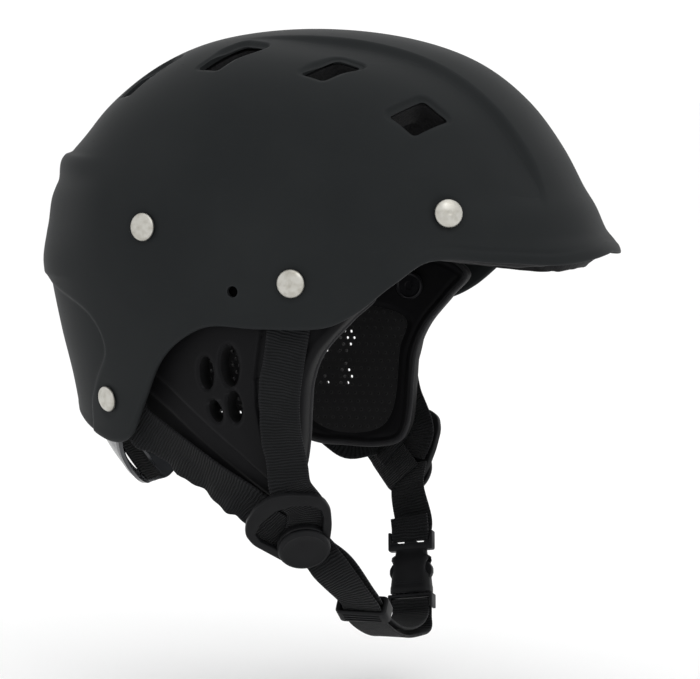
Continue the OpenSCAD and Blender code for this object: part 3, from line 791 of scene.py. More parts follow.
def fit_pad(name, start, end, top, bottom, lobes, *nodes):
    """Pad on the liner's inner face, pinched between its lobes by sewn channels."""
    columns, rows, skin = 48, 14, 1.2
    u, v = np.meshgrid(np.linspace(0, 1, columns), np.linspace(0, 1, rows), indexing="ij")
    margin = 0.035
    angle = start + (end - start) * (margin + (1 - 2 * margin) * u)
    depth = top + (bottom - top) * (0.06 + 0.88 * v)
    channel = np.abs(np.sin(math.pi * lobes * u)) ** 0.35
    crown = (np.minimum(1, 6 * np.minimum(u, 1 - u) + 0.35) * np.minimum(1, 4 * np.minimum(v, 1 - v) + 0.35))
    back = shell_point(angle, depth, np.full(u.shape, PAD_OUT + skin * 0.6))
    thick = (PAD_WALL - 2 * skin) * (0.42 + 0.58 * channel) * crown
    front = shell_point(angle, depth, PAD_OUT + skin * 0.6 + thick)
    points = np.concatenate([back.reshape(-1, 3), front.reshape(-1, 3)])
    count = columns * rows
    faces = []
    for i in range(columns - 1):
        for j in range(rows - 1):
            a = i * rows + j
            quad = (a, a + rows, a + rows + 1, a + 1)
            faces += [quad, tuple(q + count for q in reversed(quad))]
    border = [i * rows for i in range(columns)]
    border += [(columns - 1) * rows + j for j in range(1, rows)]
    border += [i * rows + rows - 1 for i in range(columns - 2, -1, -1)]
    border += list(range(rows - 2, 0, -1))
    for a, b in zip(border, border[1:] + border[:1]):
        faces.append((a, a + count, b + count, b))
    pad = mesh_object(name, points, faces, 80)
    swell(pad, 2.2)
    adopt(pad, "helmet", "fit_pad", *nodes)
    return pad


def crown_pad():
    profile = [(0, 0.6), (20, 0.5), (27, 0.8), (31.5, 1.8), (33, 3.0), (32.2, 4.6), (24, 7.6),
               (12, 8.8), (0, 9.2)]
    pad = lathe("crown_fit_pad", profile, 48, 80)
    swell(pad, 1.2)
    adopt(pad, "helmet", "fit_pad", "crown_pad")
    return pad


def fit_pads():
    fit_pad("brow_fit_pad", -38, 38, 62, 98, 3, "brow_pad")
    fit_pad("rear_fit_pad", 134, 226, 80, 142, 3, "rear_pad")
    fit_pad("side_fit_pad_right", -100, -60, 60, 98, 2, "side_pad_right")
    fit_pad("side_fit_pad_left", 60, 100, 60, 98, 2, "side_pad_left")
    crown_pad()


# ---------- ear pads ----------
EAR_WALL = 14
EAR_TOP = [(40, -85), (56, -94), (46, -106), (33, -121), (27, -135)]
EAR_REAR = [(-39, -176.5), (-61, -164), (-66, -145), (-57, -121), (-38, -101), (-14, -90), (14, -85)]
EAR_TONGUE = {
    RIGHT: [(24.6, -150), (22.4, -165), (18.5, -179), (11.5, -191.5), (3.5, -198.5), (-6, -193),
            (-20, -185)],
    LEFT: [(26.3, -150), (26.6, -165), (25.6, -175), (21, -181.5), (8, -184), (-8, -183.5), (-22, -182.5)]}
LINING = [(20, -118), (18, -135), (17, -164), (8, -176), (-14, -177), (-30, -168), (-42, -152), (-42, -134),
          (-32, -118), (-8, -112)]
# Sound ports: place, width, height and tilt
PORTS = [(-11, -128.5, 10.5, 21, 0), (-24, -132.5, 8.5, 17, 0), (-10, -148.5, 8.5, 16.5, 0),
         (-20.5, -151, 7.5, 12, 14)]
# Seams of the outer face, in side view
CHANNEL_SEAM = [(11, -90), (8.4, -104), (5.6, -116), (2.6, -133), (1.8, -148), (3.6, -164), (9.3, -191)]
LOWER_SEAM = [(-64, -130), (-48, -140.5), (-30, -155.5), (-10, -172.5), (9.3, -191)]
BEVEL_SEAM = [(-66, -141), (-48, -153), (-31, -167), (-12, -182), (4, -195)]
SNAP = (23.5, -101)
EAR_CENTRE = np.array([-8.0, -141.0])
EAR_ROUND = 3.6
PIPING_R = 1.25


def ear_outline(side):
    return smooth_outline(EAR_TOP + EAR_TONGUE[side] + EAR_REAR, 14)


def ear_y(x, z):
    return 98.4 - 0.0026 * np.maximum(-100 - z, 0) ** 2 - 0.004 * (x - 5) ** 2


def port_outline(p, grow=0.0):
    t = np.linspace(0, 2 * math.pi, 40, endpoint=False)
    w, h, tilt = p[2] / 2 + grow, p[3] / 2 + grow, math.radians(p[4])
    x, z = w * np.cos(t), h * np.sin(t)
    c, s = math.cos(tilt), math.sin(tilt)
    return np.stack([p[0] + x * c - z * s, p[1] + x * s + z * c], axis=-1)


def outer_relief(xz, gap):
    """Height of the ear pad's outer face over its plain surface: gap is the distance in from its rim."""
    channel = line_distance(xz, CHANNEL_SEAM)
    lower = line_distance(xz, LOWER_SEAM)
    bevel = line_distance(xz, BEVEL_SEAM)
    behind = smooth(-0.8, 1.6, -channel)
    height = -1.0 * (1 - behind) * smooth(2, 6, gap)
    height = height - 0.9 * bump(0, 0.8, channel) * smooth(-3, 1, lower)
    below = smooth(1.2, -1.4, lower)
    height = height - 1.5 * below - 0.8 * bump(0, 0.9, lower) - 0.6 * bump(0, 0.9, bevel)
    height = height - 1.2 * smooth(0.8, -1.2, bevel)
    for p in PORTS:
        ring = outline_distance(xz, port_outline(p))
        height = height - 1.3 * (1 - smooth(-0.4, 1.5, ring))
    field = 0.5 * smooth(0, 12, -channel) * smooth(0, 12, lower) * smooth(2, 14, gap)
    return height + field


def inner_relief(xz, gap):
    """Height of the face towards the ear: a sewn border round a lower lined field."""
    field = outline_distance(xz, smooth_outline(LINING))
    height = -1.4 * smooth(1.5, -1.5, field) - 0.7 * bump(1.2, 0.9, field)
    height = height - 0.55 * bump(4.0, 0.9, gap)
    return height + 0.7 * bump(1.6, 1.3, gap)


def ear_pad(side):
    """Moulded pad, right or left: concentric rings over both faces with a rounded rim between them."""
    name = SIDE_NAME[side]
    outline = ear_outline(side)
    shares = np.concatenate([np.linspace(0.02, 0.86, 50), np.linspace(0.88, 0.985, 12)])
    radius = EAR_ROUND
    faces_rings = {}
    for face in ("out", "in"):
        rings = []
        for share in shares:
            xz = EAR_CENTRE + (outline - EAR_CENTRE) * share
            gap = -outline_distance(xz, outline)
            round_off = radius - np.sqrt(np.maximum(radius ** 2 - np.maximum(radius - gap, 0) ** 2, 0))
            y = ear_y(xz[:, 0], xz[:, 1])
            if face == "out":
                y = y + outer_relief(xz, gap) - round_off
            else:
                y = y - EAR_WALL - inner_relief(xz, gap) + round_off
            rings.append(np.column_stack([xz[:, 0], side * y, xz[:, 1]]))
        faces_rings[face] = rings
    middle = ear_y(outline[:, 0], outline[:, 1])
    rim = [np.column_stack([outline[:, 0], side * (middle - EAR_WALL * t), outline[:, 1]])
           for t in (0.30, 0.5, 0.70)]
    pad = ring_solid(f"ear_pad_moulded_{name}", faces_rings["out"] + rim + faces_rings["in"][::-1], 55)
    cutters = []
    for p in PORTS:
        loop = port_outline(p, -0.2)
        rings = [np.column_stack([loop[:, 0], np.full(len(loop), side * y), loop[:, 1]]) for y in (60, 120)]
        cutters.append(ring_solid("cutter", rings))
    cut(pad, cutters, sharp=50)
    adopt(pad, "helmet", "ear_pad", f"ear_pad_{name}")
    ear_lining(side, name)
    return pad


PERFORATION_PITCH = 3.5
PERFORATION_R = 0.85


def port_perforations():
    """Places of the holes punched through the lining where a port lies behind it."""
    pitch = PERFORATION_PITCH
    spots = []
    for k in range(-12, 3):
        for j in range(12):
            x, z = pitch * k + (j % 2) * pitch / 2, -116 - pitch * 0.95 * j
            if any(outline_distance(np.array([x, z]), port_outline(p)) < -0.6 for p in PORTS):
                spots.append((x, z))
    return spots


def punch(x, z):
    r = PERFORATION_R
    turn = np.linspace(0, 2 * math.pi, 10, endpoint=False)
    rings = [np.stack([x + r * np.cos(turn), np.full(10, float(y)), z + r * np.sin(turn)], axis=-1)
             for y in (-120, 120)]
    return ring_solid("cutter", rings)


def ear_lining(side, name):
    """Perforated knit inside the pad, just proud of its lowered field, and across the ports."""
    outline = smooth_outline(LINING, 10)
    centre = np.array([-10.0, -145.0])
    shares = np.linspace(0.03, 1.0, 24)
    rings = []
    for depth, dip in ((EAR_WALL - 1.3, 0.0), (EAR_WALL - 0.1, 1.0)):
        face = []
        for share in shares:
            xz = centre + (outline - centre) * share
            gap = -outline_distance(xz, outline)
            pillow = 0.9 * smooth(0, 16, gap) * dip
            y = ear_y(xz[:, 0], xz[:, 1]) - depth - pillow + 0.5 * dip * (1 - smooth(0, 1.2, gap))
            face.append(np.column_stack([xz[:, 0], side * y, xz[:, 1]]))
        rings.append(face)
    lining = ring_solid(f"ear_lining_knit_{name}", rings[0] + rings[1][::-1], 60)
    cut(lining, [punch(x, z) for x, z in port_perforations()], sharp=60)
    adopt(lining, "helmet", "lining", f"ear_lining_{name}")
    return lining


def piping(side):
    """Sewn edge strip down the front of each pad and round its foot."""
    name = SIDE_NAME[side]
    outline = ear_outline(side)
    steps = 12
    turn = np.linspace(0, 2 * math.pi, steps, endpoint=False)
    count = len(outline)
    rings = []
    for i in range(count):
        x, z = outline[i]
        run = outline[(i + 1) % count] - outline[i - 1]
        run = run / np.linalg.norm(run)
        out = np.array([run[1], -run[0]])
        if np.dot(out, outline[i] - EAR_CENTRE) < 0:
            out = -out
        y = ear_y(x, z) - EAR_WALL + 2.0
        ring = []
        for t in turn:
            away = PIPING_R * math.cos(t) - 0.5
            ring.append((x + out[0] * away, side * (y + PIPING_R * math.sin(t)), z + out[1] * away))
        rings.append(ring)
    points = np.array(rings).reshape(-1, 3)
    strip = mesh_object(f"ear_pad_piping_{name}", points, strip_faces(count, steps, True), 60)
    return adopt(strip, "helmet", "ear_pad", material=PIPING)


def snaps():
    profile = [(0, 0), (6.9, 0), (7.2, 0.5), (7.1, 1.4), (6.7, 2.0), (6.2, 2.2), (5.7, 2.0),
               (5.4, 1.7), (5.0, 1.7), (2.2, 1.95), (1.9, 1.7), (0, 1.65)]
    pieces = []
    for side in (RIGHT, LEFT):
        y = side * (ear_y(SNAP[0], SNAP[1]) - EAR_WALL - 1.7)
        turn = Matrix.Rotation(side * math.pi / 2, 4, "X")
        piece = lathe(f"snap_{side}", profile, 64, 35)
        pieces.append(moved(piece, millimetres(SNAP[0], y, SNAP[1]) @ turn))
    return adopt(join("pad_snap_buttons", pieces), "helmet", "snap", "pad_snaps")


# ---------- rivets ----------
def rivet_profile(head):
    """Domed head with a small dimple, seated on a thin flange."""
    arc = [(head * math.cos(a * 0.97), 0.75 + 2.4 * math.sin(a)) for a in np.linspace(0, math.pi / 2, 18)]
    return [(0, 0.0), (head - 0.5, 0.0), (head, 0.3)] + arc[:-2] + [(1.1, 3.12), (0.7, 2.95), (0, 2.9)]


def rivets():
    washer = [(0, 0), (6.5, 0), (6.5, 1.2), (2.6, 1.2), (2.4, 1.6), (0, 1.6)]
    heads, rings = [], []
    insets = (LINER_IN + 1.2, LINER_IN + 1.2, 6.0, 11.6)
    for (angle, depth), inset in zip(RIVETS, insets):
        for side in (RIGHT, LEFT):
            radius = 6.3 if (angle, depth) == REAR_RIVET else 6.8
            head_piece = lathe("head", rivet_profile(radius), 64, 35)
            shank = lathe("shank", [(0, -inset - 0.6), (2.4, -inset - 0.6), (2.4, 0.2), (0, 0.2)], 24)
            heads += [moved(piece, mirror(side) @ on_shell(angle, depth)) for piece in (head_piece, shank)]
            ring = lathe("washer", washer, 48, 30)
            rings.append(moved(ring, mirror(side) @ on_shell(angle, depth, inset + 1.4)))
    adopt(join("rivet_heads", heads), "helmet", "nickel", "shell_rivets")
    adopt(join("rivet_washer_rings", rings), "helmet", "nickel", "rivet_washers")


# ---------- harness ----------
YOKES = {RIGHT: ((14, -60, -217), 128, 26), LEFT: ((22, -80, -197), 121, 22)}
FIRST_LAYER = -1.2
SECOND_LAYER = -3.7
LAY = 1.7
UNDER_SHELL = 4.6


def yoke_rotation(side):
    _, tilt, turn = YOKES[side]
    turned_up = Matrix.Rotation(math.radians(turn), 3, "Z") @ Matrix.Rotation(math.radians(tilt), 3, "X")
    return np.array(turned_up)


def yoke_spot(side, p):
    """Right-side place and outward normal of a point given in the divider's own frame."""
    m = yoke_rotation(side)
    return np.array(YOKES[side][0]) + m @ np.array(p, float), m @ np.array([0, 0, 1.0])


def on_pad(x, z, turn=0.0):
    y = -float(ear_y(np.array(x), np.array(z))) - LAY - 7 * turn
    return np.array([x, y, z]), np.array([turn + 0.008 * (x - 5), -1, -0.0052 * max(-100 - z, 0)])


def row(place, out):
    return np.array(place), np.array(out)


def under_shell(angle, depth):
    return shell_point(angle, depth, UNDER_SHELL), shell_normal(angle, depth)


def web_frames(rows, steps):
    """Places along a strap, with its outward direction and the direction across it."""
    table = [(i, *p, *n) for i, (p, n) in enumerate(rows)]
    q = np.linspace(0, len(rows) - 1, (len(rows) - 1) * steps + 1)

    def at(q, columns=(1, 2, 3)):
        return np.stack([along(table, c, q) for c in columns], axis=-1)

    place, hint = at(q), at(q, (4, 5, 6))
    run = at(np.minimum(q + 0.03, len(rows) - 1)) - at(np.maximum(q - 0.03, 0))
    run /= np.linalg.norm(run, axis=1, keepdims=True)
    out = hint - (hint * run).sum(1, keepdims=True) * run
    out /= np.linalg.norm(out, axis=1, keepdims=True)
    return place, out, np.cross(run, out)


def run_lengths(place):
    return np.concatenate([[0], np.cumsum(np.linalg.norm(np.diff(place, axis=0), axis=1))])


def web_section():
    """Cross section of the webbing: slightly crowned faces, and rolled edges a little thicker."""
    half, t = WEB_W / 2, WEB_T / 2
    flat = half - t * 0.9
    top = [(s, t * (0.86 + 0.14 * bump(flat, 1.3, abs(s)))) for s in np.linspace(flat, -flat, 19)]
    left = [(-flat - t * 0.9 * math.sin(a), t * math.cos(a)) for a in np.linspace(0.4, math.pi - 0.4, 5)]
    bottom = [(-s, -h) for s, h in top]
    right = [(-s, -h) for s, h in left]
    return np.array(top + left + bottom + right)


def webbing(name, rows, steps, flutter=0.0, side=RIGHT, thin=1.0):
    """Webbing along rows of place and normal. flutter is how far its slack edge waves outward."""
    place, out, across = web_frames(rows, steps)
    length = run_lengths(place)
    total = length[-1]
    slack = smooth(0.1, 0.3, length / total) * smooth(0.95, 0.75, length / total)
    ripple = 1 + np.sin(length * 2 * math.pi / 27.0) + 0.4 * np.sin(length * 2 * math.pi / 11.0)
    wave = flutter * slack * ripple
    section = web_section() * np.array([1, thin])
    n = len(section)
    edge = smooth(-0.2, 1.0, section[:, :1] / (WEB_W / 2))
    points = []
    for k in range(len(place)):
        lift = section[:, 1:] + edge * wave[k]
        stretch = section[:, :1] + 0.9 * edge * wave[k]
        points.append(place[k] + stretch * across[k] + lift * out[k])
    flip = np.array([1, -1, 1]) if side == LEFT else 1
    rings = [p * flip for p in points]
    strap = ring_solid(name, rings, 60)
    layer = strap.data.uv_layers.new(name="UVMap")
    along_v = np.append(np.repeat(length, n), [length[0], length[-1]])
    across_u = np.append(np.tile(section[:, 0], len(place)), [0, 0])
    for loop in strap.data.loops:
        layer.data[loop.index].uv = (across_u[loop.vertex_index], along_v[loop.vertex_index])
    return strap


STITCH_HALF = 7
STITCH_LIFT = 0.8
STITCH_GAP = 2.4
THREAD_R = 0.38


def stitches(name, rows, start, end):
    """Box of crossed stitching over a strap between two shares of its length."""
    place, out, across = web_frames(rows, 40)
    length = run_lengths(place)
    total = length[-1]
    lo, hi = start * total, end * total

    def spot(s, u):
        k, o, a = [np.array([np.interp(s, length, table[:, c]) for c in range(3)])
                   for table in (place, out, across)]
        return k + a * u + o * STITCH_LIFT

    near, far = -STITCH_HALF, STITCH_HALF
    paths = [((lo, near), (hi, near)), ((lo, far), (hi, far)), ((lo, near), (lo, far)),
             ((hi, near), (hi, far)), ((lo, near), (hi, far)), ((hi, near), (lo, far))]
    points, faces = [], []
    for (s0, u0), (s1, u1) in paths:
        run = math.hypot(s1 - s0, u1 - u0)
        count = max(2, round(run / STITCH_GAP))
        for i in range(count):
            ends = [(i + 0.14) / count, (i + 0.86) / count]
            a, b = [spot(s0 + (s1 - s0) * e, u0 + (u1 - u0) * e) for e in ends]
            thread(points, faces, a, b)
    return mesh_object(name, np.array(points), faces, 70)


def thread(points, faces, a, b):
    """One stitch: a short bowed tube pressed into the webbing at both ends."""
    run = b - a
    run = run / np.linalg.norm(run)
    helper = np.array([0.3, 0.9, 0.2])
    u = np.cross(run, helper)
    u /= np.linalg.norm(u)
    v = np.cross(run, u)
    base = len(points)
    for t, size in ((0, 0.35), (0.25, 1), (0.75, 1), (1, 0.35)):
        centre = a + (b - a) * t
        for k in range(6):
            g = k * math.pi / 3
            points.append(centre + THREAD_R * size * (u * math.cos(g) + v * math.sin(g)))
    for i in range(3):
        for k in range(6):
            k2 = (k + 1) % 6
            low, high = base + 6 * i, base + 6 * (i + 1)
            faces.append((low + k, low + k2, high + k2, high + k))
    faces.append(tuple(base + k for k in range(6)))
    faces.append(tuple(base + 18 + k for k in range(5, -1, -1)))


def front_rows(side):
    run = {RIGHT: [(13.6, -160, 0), (14.8, -176, 0.12), (15.5, -188, 0.3)], LEFT: [(18.5, -160, 0.5)]}[side]
    rows = [under_shell(-81, 110), under_shell(-81.5, 121)]
    rows += [on_pad(20.6, -110), on_pad(16.2, -132), on_pad(14, -146)]
    rows += [on_pad(*p) for p in run]
    return rows + [yoke_spot(side, (0.6, 20, -1.8)), yoke_spot(side, (0.6, 6, FIRST_LAYER))]


def rear_rows(side):
    run = {RIGHT: [(-46, -172, 0), (-25, -185.8, 0), (-10, -195.4, 0.2)],
           LEFT: [(-46, -165.5, 0), (-25, -173.5, 0), (-9, -183, 0.1)]}[side]
    rows = [under_shell(-133.5, 173), under_shell(-127, 182),
            row([-64, -77.6, -160], [-0.25, -1, -0.25])]
    rows += [on_pad(*p) for p in run]
    return rows + [yoke_spot(side, (-19, 13, -5.6)), yoke_spot(side, (-8, 8, SECOND_LAYER))]


def ear_straps(side):
    name = SIDE_NAME[side]
    front = webbing(f"front_webbing_{name}", front_rows(side), 12, 0.25, side)
    rear = webbing(f"rear_webbing_{name}", rear_rows(side), 12, 0.8 if side == RIGHT else 0.3, side)
    loop = [yoke_spot(side, p) for p in ((-21.4, 12.5, -2.5), (-8, 2.5, -2.45), (3, -5.8, -2.45))]
    adopt(webbing(f"divider_fold_{name}", loop, 12, 0.0, side, 0.62), "helmet", "webbing")
    adopt(front, "helmet", "webbing", f"front_strap_{name}")
    adopt(rear, "helmet", "webbing", f"rear_strap_{name}")


HUB_R = 13.2
YOKE_T = 3.4
YOKE_OUTLINE = [
    (-29.3, 17), (-29.3, 8.5), (-25, 1.5), (-14.5, -6.5), (-6, -13), (3, -13.6), (10, -8.5), (12.6, 2),
    (12.8, 14), (11.4, 25), (7.5, 32), (1, 35), (-12, 35.4), (-19, 33.2), (-25.8, 26)]
WINDOW_TOP = [(8.2, 11), (8, 20), (6.4, 25.2), (0.8, 28), (-7, 28), (-15.5, 24.6), (-22.2, 16), (-24.2, 9),
              (-21.2, 3.6), (-14.2, -0.9)]


def yoke(side):
    name = SIDE_NAME[side]
    outline = [tuple(p) for p in rounded(YOKE_OUTLINE, 3, 5)]
    sweep = np.linspace(math.radians(186), math.radians(52), 40)
    window = list(WINDOW_TOP) + [(HUB_R * math.cos(a), HUB_R * math.sin(a)) for a in sweep]
    body = plate("body", outline, 0, YOKE_T, 0.9, window[::-1], 4)
    place = Matrix(yoke_rotation(side).tolist()).to_4x4()
    place.translation = Vector(YOKES[side][0]) * MM
    place = mirror(side) @ place
    body = moved(body, place)
    body.name = body.data.name = f"divider_{name}"
    adopt(body, "helmet", "buckle_plastic", f"yoke_{name}")
    low = YOKE_T + 0.1
    profile = [(r, low + h) for r, h in (
        (0, 0), (11.6, 0), (12.6, 0.35), (13, 1.0), (12.9, 1.7), (12.4, 2.5), (11.7, 3.0), (11.0, 3.1),
        (10.7, 2.95), (10.3, 2.8), (6, 2.9), (0.4, 2.95))]
    cap = moved(lathe(f"divider_cap_{name}", profile, 72, 28), place)
    adopt(cap, "helmet", "buckle_plastic", f"yoke_cap_{name}")


# ---------- buckle ----------
BUCKLE = np.array([34.7, 50, -257.8])
BUCKLE_TURN = Matrix.Rotation(math.radians(-7), 3, "Y") @ Matrix.Rotation(math.radians(-20), 3, "X")
BUCKLE_W = 24
BUCKLE_T = 9.5
SLOT_W = 20.8
PLUG_BAR = -5.4
SOCKET_BAR = 30.4
BAR_R = 1.2
WRAP_R = BAR_R + 0.35 + WEB_T / 2
LOFT_STEPS = 64


def turned(p):
    return np.array(BUCKLE_TURN) @ np.array(p, float)


def at_buckle(p):
    return BUCKLE + turned(p)


def buckle_matrix():
    m = BUCKLE_TURN.to_4x4()
    m.translation = Vector(BUCKLE) * MM
    return m


def lens(w, t, power):
    """Closed outline with flat faces and full round sides."""
    a = np.linspace(0, 2 * math.pi, LOFT_STEPS, endpoint=False)
    c, s = np.cos(a), np.sin(a)
    return np.stack([w / 2 * np.sign(c) * np.abs(c) ** (2 / (power * 2.2)),
                     t / 2 * np.sign(s) * np.abs(s) ** (2 / power)], axis=-1)


def loft(name, sections, sharp):
    """Solid through (height, width, thickness, roundness) sections along Z."""
    rings = [np.column_stack([lens(w, t, p), np.full(LOFT_STEPS, z)]) for z, w, t, p in sections]
    return ring_solid(name, rings, sharp)


def block(name, low, high, edge):
    """Box with rounded edges between two corners."""
    (x0, y0, z0), (x1, y1, z1) = low, high
    corner = min(edge * 1.6, (x1 - x0) / 3, (y1 - y0) / 3)
    loop = rounded([(x0, y0), (x1, y0), (x1, y1), (x0, y1)], corner, 4)
    n = len(loop)
    centre = loop.mean(0)
    rings = []
    for z, shrink in ((z0, edge), (z0 + edge * 0.3, edge * 0.3), (z0 + edge, 0), (z1 - edge, 0),
                      (z1 - edge * 0.3, edge * 0.3), (z1, edge)):
        scale = 1 - shrink / np.maximum(np.abs(loop - centre).max(0), 1e-6)
        rings.append(np.column_stack([centre + (loop - centre) * scale, np.full(n, z)]))
    return ring_solid(name, rings, 40)


def bar(name, z, length):
    piece = lathe(name, [(0, -length / 2), (BAR_R, -length / 2), (BAR_R, length / 2), (0, length / 2)], 24)
    return moved(piece, Matrix.Translation((0, 0, z * MM)) @ Matrix.Rotation(math.pi / 2, 4, "Y"))


def buckle_socket():
    w, t = BUCKLE_W - 2, BUCKLE_T
    body = loft("socket_body", [
        (0, w - 0.8, t - 1.6, 3.4), (0.35, w, t - 0.9, 3.4), (1.6, w, t - 0.2, 3.2), (3.0, w, t, 3.0),
        (4.2, w - 0.5, t - 0.5, 3.0), (8, w - 1.2, t - 0.3, 2.8), (13, w - 1.2, t - 0.2, 2.8),
        (17, w - 0.8, t - 0.6, 2.8), (19, w - 1.4, t - 1.6, 2.9), (20.2, 17, 6.4, 3.0),
        (23.0, 16.4, 5.4, 3.0)], 34)
    cavity = block("cavity", (-8.7, -2.6, -1), (8.7, 2.6, 19.4), 0.3)
    windows = []
    for side in (-1, 1):
        windows.append(block("window", (side * 12.5 - 5, -2.6, 7.4), (side * 12.5 + 5, 2.6, 18.6), 0.3))
        where = millimetres(side * 14.6, 0, 13) @ Matrix.Rotation(math.pi / 2, 4, "X")
        windows.append(round_cutter(6.2, 20, where))
    cut(body, [cavity] + windows, sharp=34)
    pieces = [body]
    for side in (-1, 1):
        low = min(side * 10.4, side * BUCKLE_W / 2)
        pieces.append(block("leg", (low, -2.5, 23.0), (low + 1.6, 2.5, 32.4), 0.5))
    pieces.append(block("shoulder", (-BUCKLE_W / 2, -2.5, 22.6), (BUCKLE_W / 2, 2.5, 26.4), 0.6))
    for x0, x1 in ((-10.8, -7.4), (-3.2, 3.2), (7.4, 10.8)):
        pieces.append(block("slot_web", (x0, -2.3, 25.9), (x1, 2.3, 27.25), 0.2))
    pieces.append(bar("bar", SOCKET_BAR, SLOT_W + 1.4))
    for z in (4.4, 5.4):
        pieces.append(block("rib", (-7.6, -t / 2 + 0.15, z), (7.6, -t / 2 + 0.85, z + 0.45), 0.15))
    socket = moved(join("chin_buckle_socket", pieces), buckle_matrix())
    return adopt(socket, "helmet", "buckle_plastic", "buckle_socket")


def buckle_plug():
    half = BUCKLE_W / 2
    pieces = [block("foot", (-half, -3.5, -2.25), (half, 3.5, -0.6), 0.5)]
    for side in (-1, 1):
        low = min(side * 10.4, side * half)
        pieces.append(block("leg", (low, -3.4, -8), (low + 1.6, 3.4, -1.0), 0.5))
    pieces.append(bar("bar", PLUG_BAR, SLOT_W + 1.4))
    pieces.append(block("tongue", (-2.1, -1.7, -1.0), (2.1, 1.7, 15), 0.4))
    plug = moved(join("chin_buckle_plug", pieces), buckle_matrix())
    adopt(plug, "plug", "buckle_plastic", "buckle_plug")
    shape = [(4.2, -0.1), (7.4, -0.1), (7.2, 4), (8.2, 7.6), (10.4, 8.0), (11.5, 10.4), (11.4, 13),
             (10.0, 15.4), (7.6, 17), (6.2, 16.6), (5.2, 10), (4.4, 4)]
    for side, name, body in ((1, "prong_front", "front_prong"), (-1, "prong_rear", "rear_prong")):
        loop = [(x * side, z) for x, z in rounded(shape, 0.7, 3)]
        arm = plate(f"{name}_arm", loop, -1.8, 1.8, 0.45, None, 3)
        stand = Matrix.Rotation(math.pi / 2, 4, "X")
        parts = [moved(arm, stand)]
        for k in range(4):
            z = 9.3 + 1.35 * k
            x = side * (10.9 - 0.12 * (k - 1.4) ** 2)
            parts.append(block("grip", (x - 0.5, -1.5, z), (x + 0.5, 1.5, z + 0.55), 0.2))
        adopt(moved(join(f"buckle_{name}", parts), buckle_matrix()), body, "buckle_plastic", name)


# ---------- chin straps ----------
SLIDER = np.array([34, -26, -254])
SLIDER_TURN = math.radians(53)
SLIDER_RUN = np.array([0, -math.sin(SLIDER_TURN), math.cos(SLIDER_TURN)])
SLIDER_OUT = np.array([0, -math.cos(SLIDER_TURN), -math.sin(SLIDER_TURN)])
LAYER = 1.9


def slider_row(run, side):
    return SLIDER + SLIDER_RUN * run + SLIDER_OUT * LAYER * side, SLIDER_OUT


def wrap_row(z, degrees):
    c, s = math.cos(math.radians(degrees)), math.sin(math.radians(degrees))
    return at_buckle((0, WRAP_R * c, z + WRAP_R * s)), turned((0, c, s))


def neg(row):
    return row[0], -row[1]


def chin_rows_right():
    outer = [yoke_spot(RIGHT, (0, 2, FIRST_LAYER)), yoke_spot(RIGHT, (8, -9, FIRST_LAYER - 0.4)),
             row([24, -48, -231.5], [0.3, -0.72, -0.62]),
             slider_row(12, 1), slider_row(0, 1), slider_row(-12, 1),
             row([35, 8, -272.5], [0, -0.12, -0.99]),
             row([36.4, 34, -276.0], [0.05, 0.08, -0.99]),
             row([36.8, 45.6, -275.2], [0.05, 0.6, -0.8]),
             (at_buckle((0, WRAP_R + 0.9, -12)), np.array([0.05, 0.97, 0.1]))]
    wrap = [wrap_row(PLUG_BAR, a) for a in (0, 60, 120, 180)]
    inner = [(at_buckle((0, -WRAP_R - 0.6, -12)), turned((0, -1, 0))),
             row([36, 29, -270.4], [0, -0.3, 0.95]),
             row([35, 8, -268.6], [0, 0.25, 0.97]),
             neg(slider_row(-12, -1)), neg(slider_row(0, -1)), neg(slider_row(12, -1)),
             row([25.5, -43.4, -231], [-0.28, 0.74, 0.6]),
             neg(yoke_spot(RIGHT, (8, -11, -4.8)))]
    return outer + wrap + inner


def chin_rows_left():
    """Given on the left side, as it is."""
    flip = np.array([1, -1, 1])
    yoke_end = [yoke_spot(LEFT, (3, 2, FIRST_LAYER)), yoke_spot(LEFT, (7, -12, FIRST_LAYER))]
    rows = [(place * flip, out * flip) for place, out in yoke_end]
    rows += [(at_buckle((0, WRAP_R + 1.4, SOCKET_BAR + 9)), turned((0, 1, 0))),
             (at_buckle((0, WRAP_R + 0.2, SOCKET_BAR + 3)), turned((0, 1, 0)))]
    rows += [wrap_row(SOCKET_BAR, a) for a in (0, -60, -120, -180)]
    return rows + [(at_buckle((0, -WRAP_R - 0.1, SOCKET_BAR + 4)), turned((0, -1, 0))),
                   (at_buckle((-0.6, -WRAP_R - 0.1, SOCKET_BAR + 10)), turned((0, -1, 0)))]


def chin_straps():
    right = webbing("chin_webbing_right", chin_rows_right(), 10)
    right.data.materials.append(MATERIALS["webbing"])
    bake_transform(right)
    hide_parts("chin_strap_right")
    left = webbing("chin_webbing_left", chin_rows_left(), 10)
    adopt(left, "helmet", "webbing", "chin_strap_left")
    fold = stitches("fold_stitching_left", chin_rows_left(), 0.30, 0.46)
    adopt(fold, "helmet", "webbing", material=THREAD)


def strap_slider():
    """Three-bar slider: a rounded ring with a ribbed bar between the two layers."""
    outer = rounded([(-13.25, -5.3), (13.25, -5.3), (13.25, 5.3), (-13.25, 5.3)], 3.0, 6)
    hole = rounded([(-10.7, -3.45), (10.7, -3.45), (10.7, 3.45), (-10.7, 3.45)], 0.9, 4)
    ring = plate("ring", outer, -5, 5, 1.0, hole[::-1], 4)
    pieces = [ring, block("bar", (-11.2, -0.7, -2), (11.2, 0.7, 2), 0.3)]
    for k in (-1, 0, 1):
        pieces.append(block("grip", (-9.5, -5.75, 2.2 * k - 0.45), (9.5, -5.1, 2.2 * k + 0.45), 0.2))
    place = millimetres(*SLIDER) @ Matrix.Rotation(SLIDER_TURN, 4, "X")
    slider = moved(join("webbing_slider", pieces), place)
    return adopt(slider, "slider", "buckle_plastic", "strap_slider")


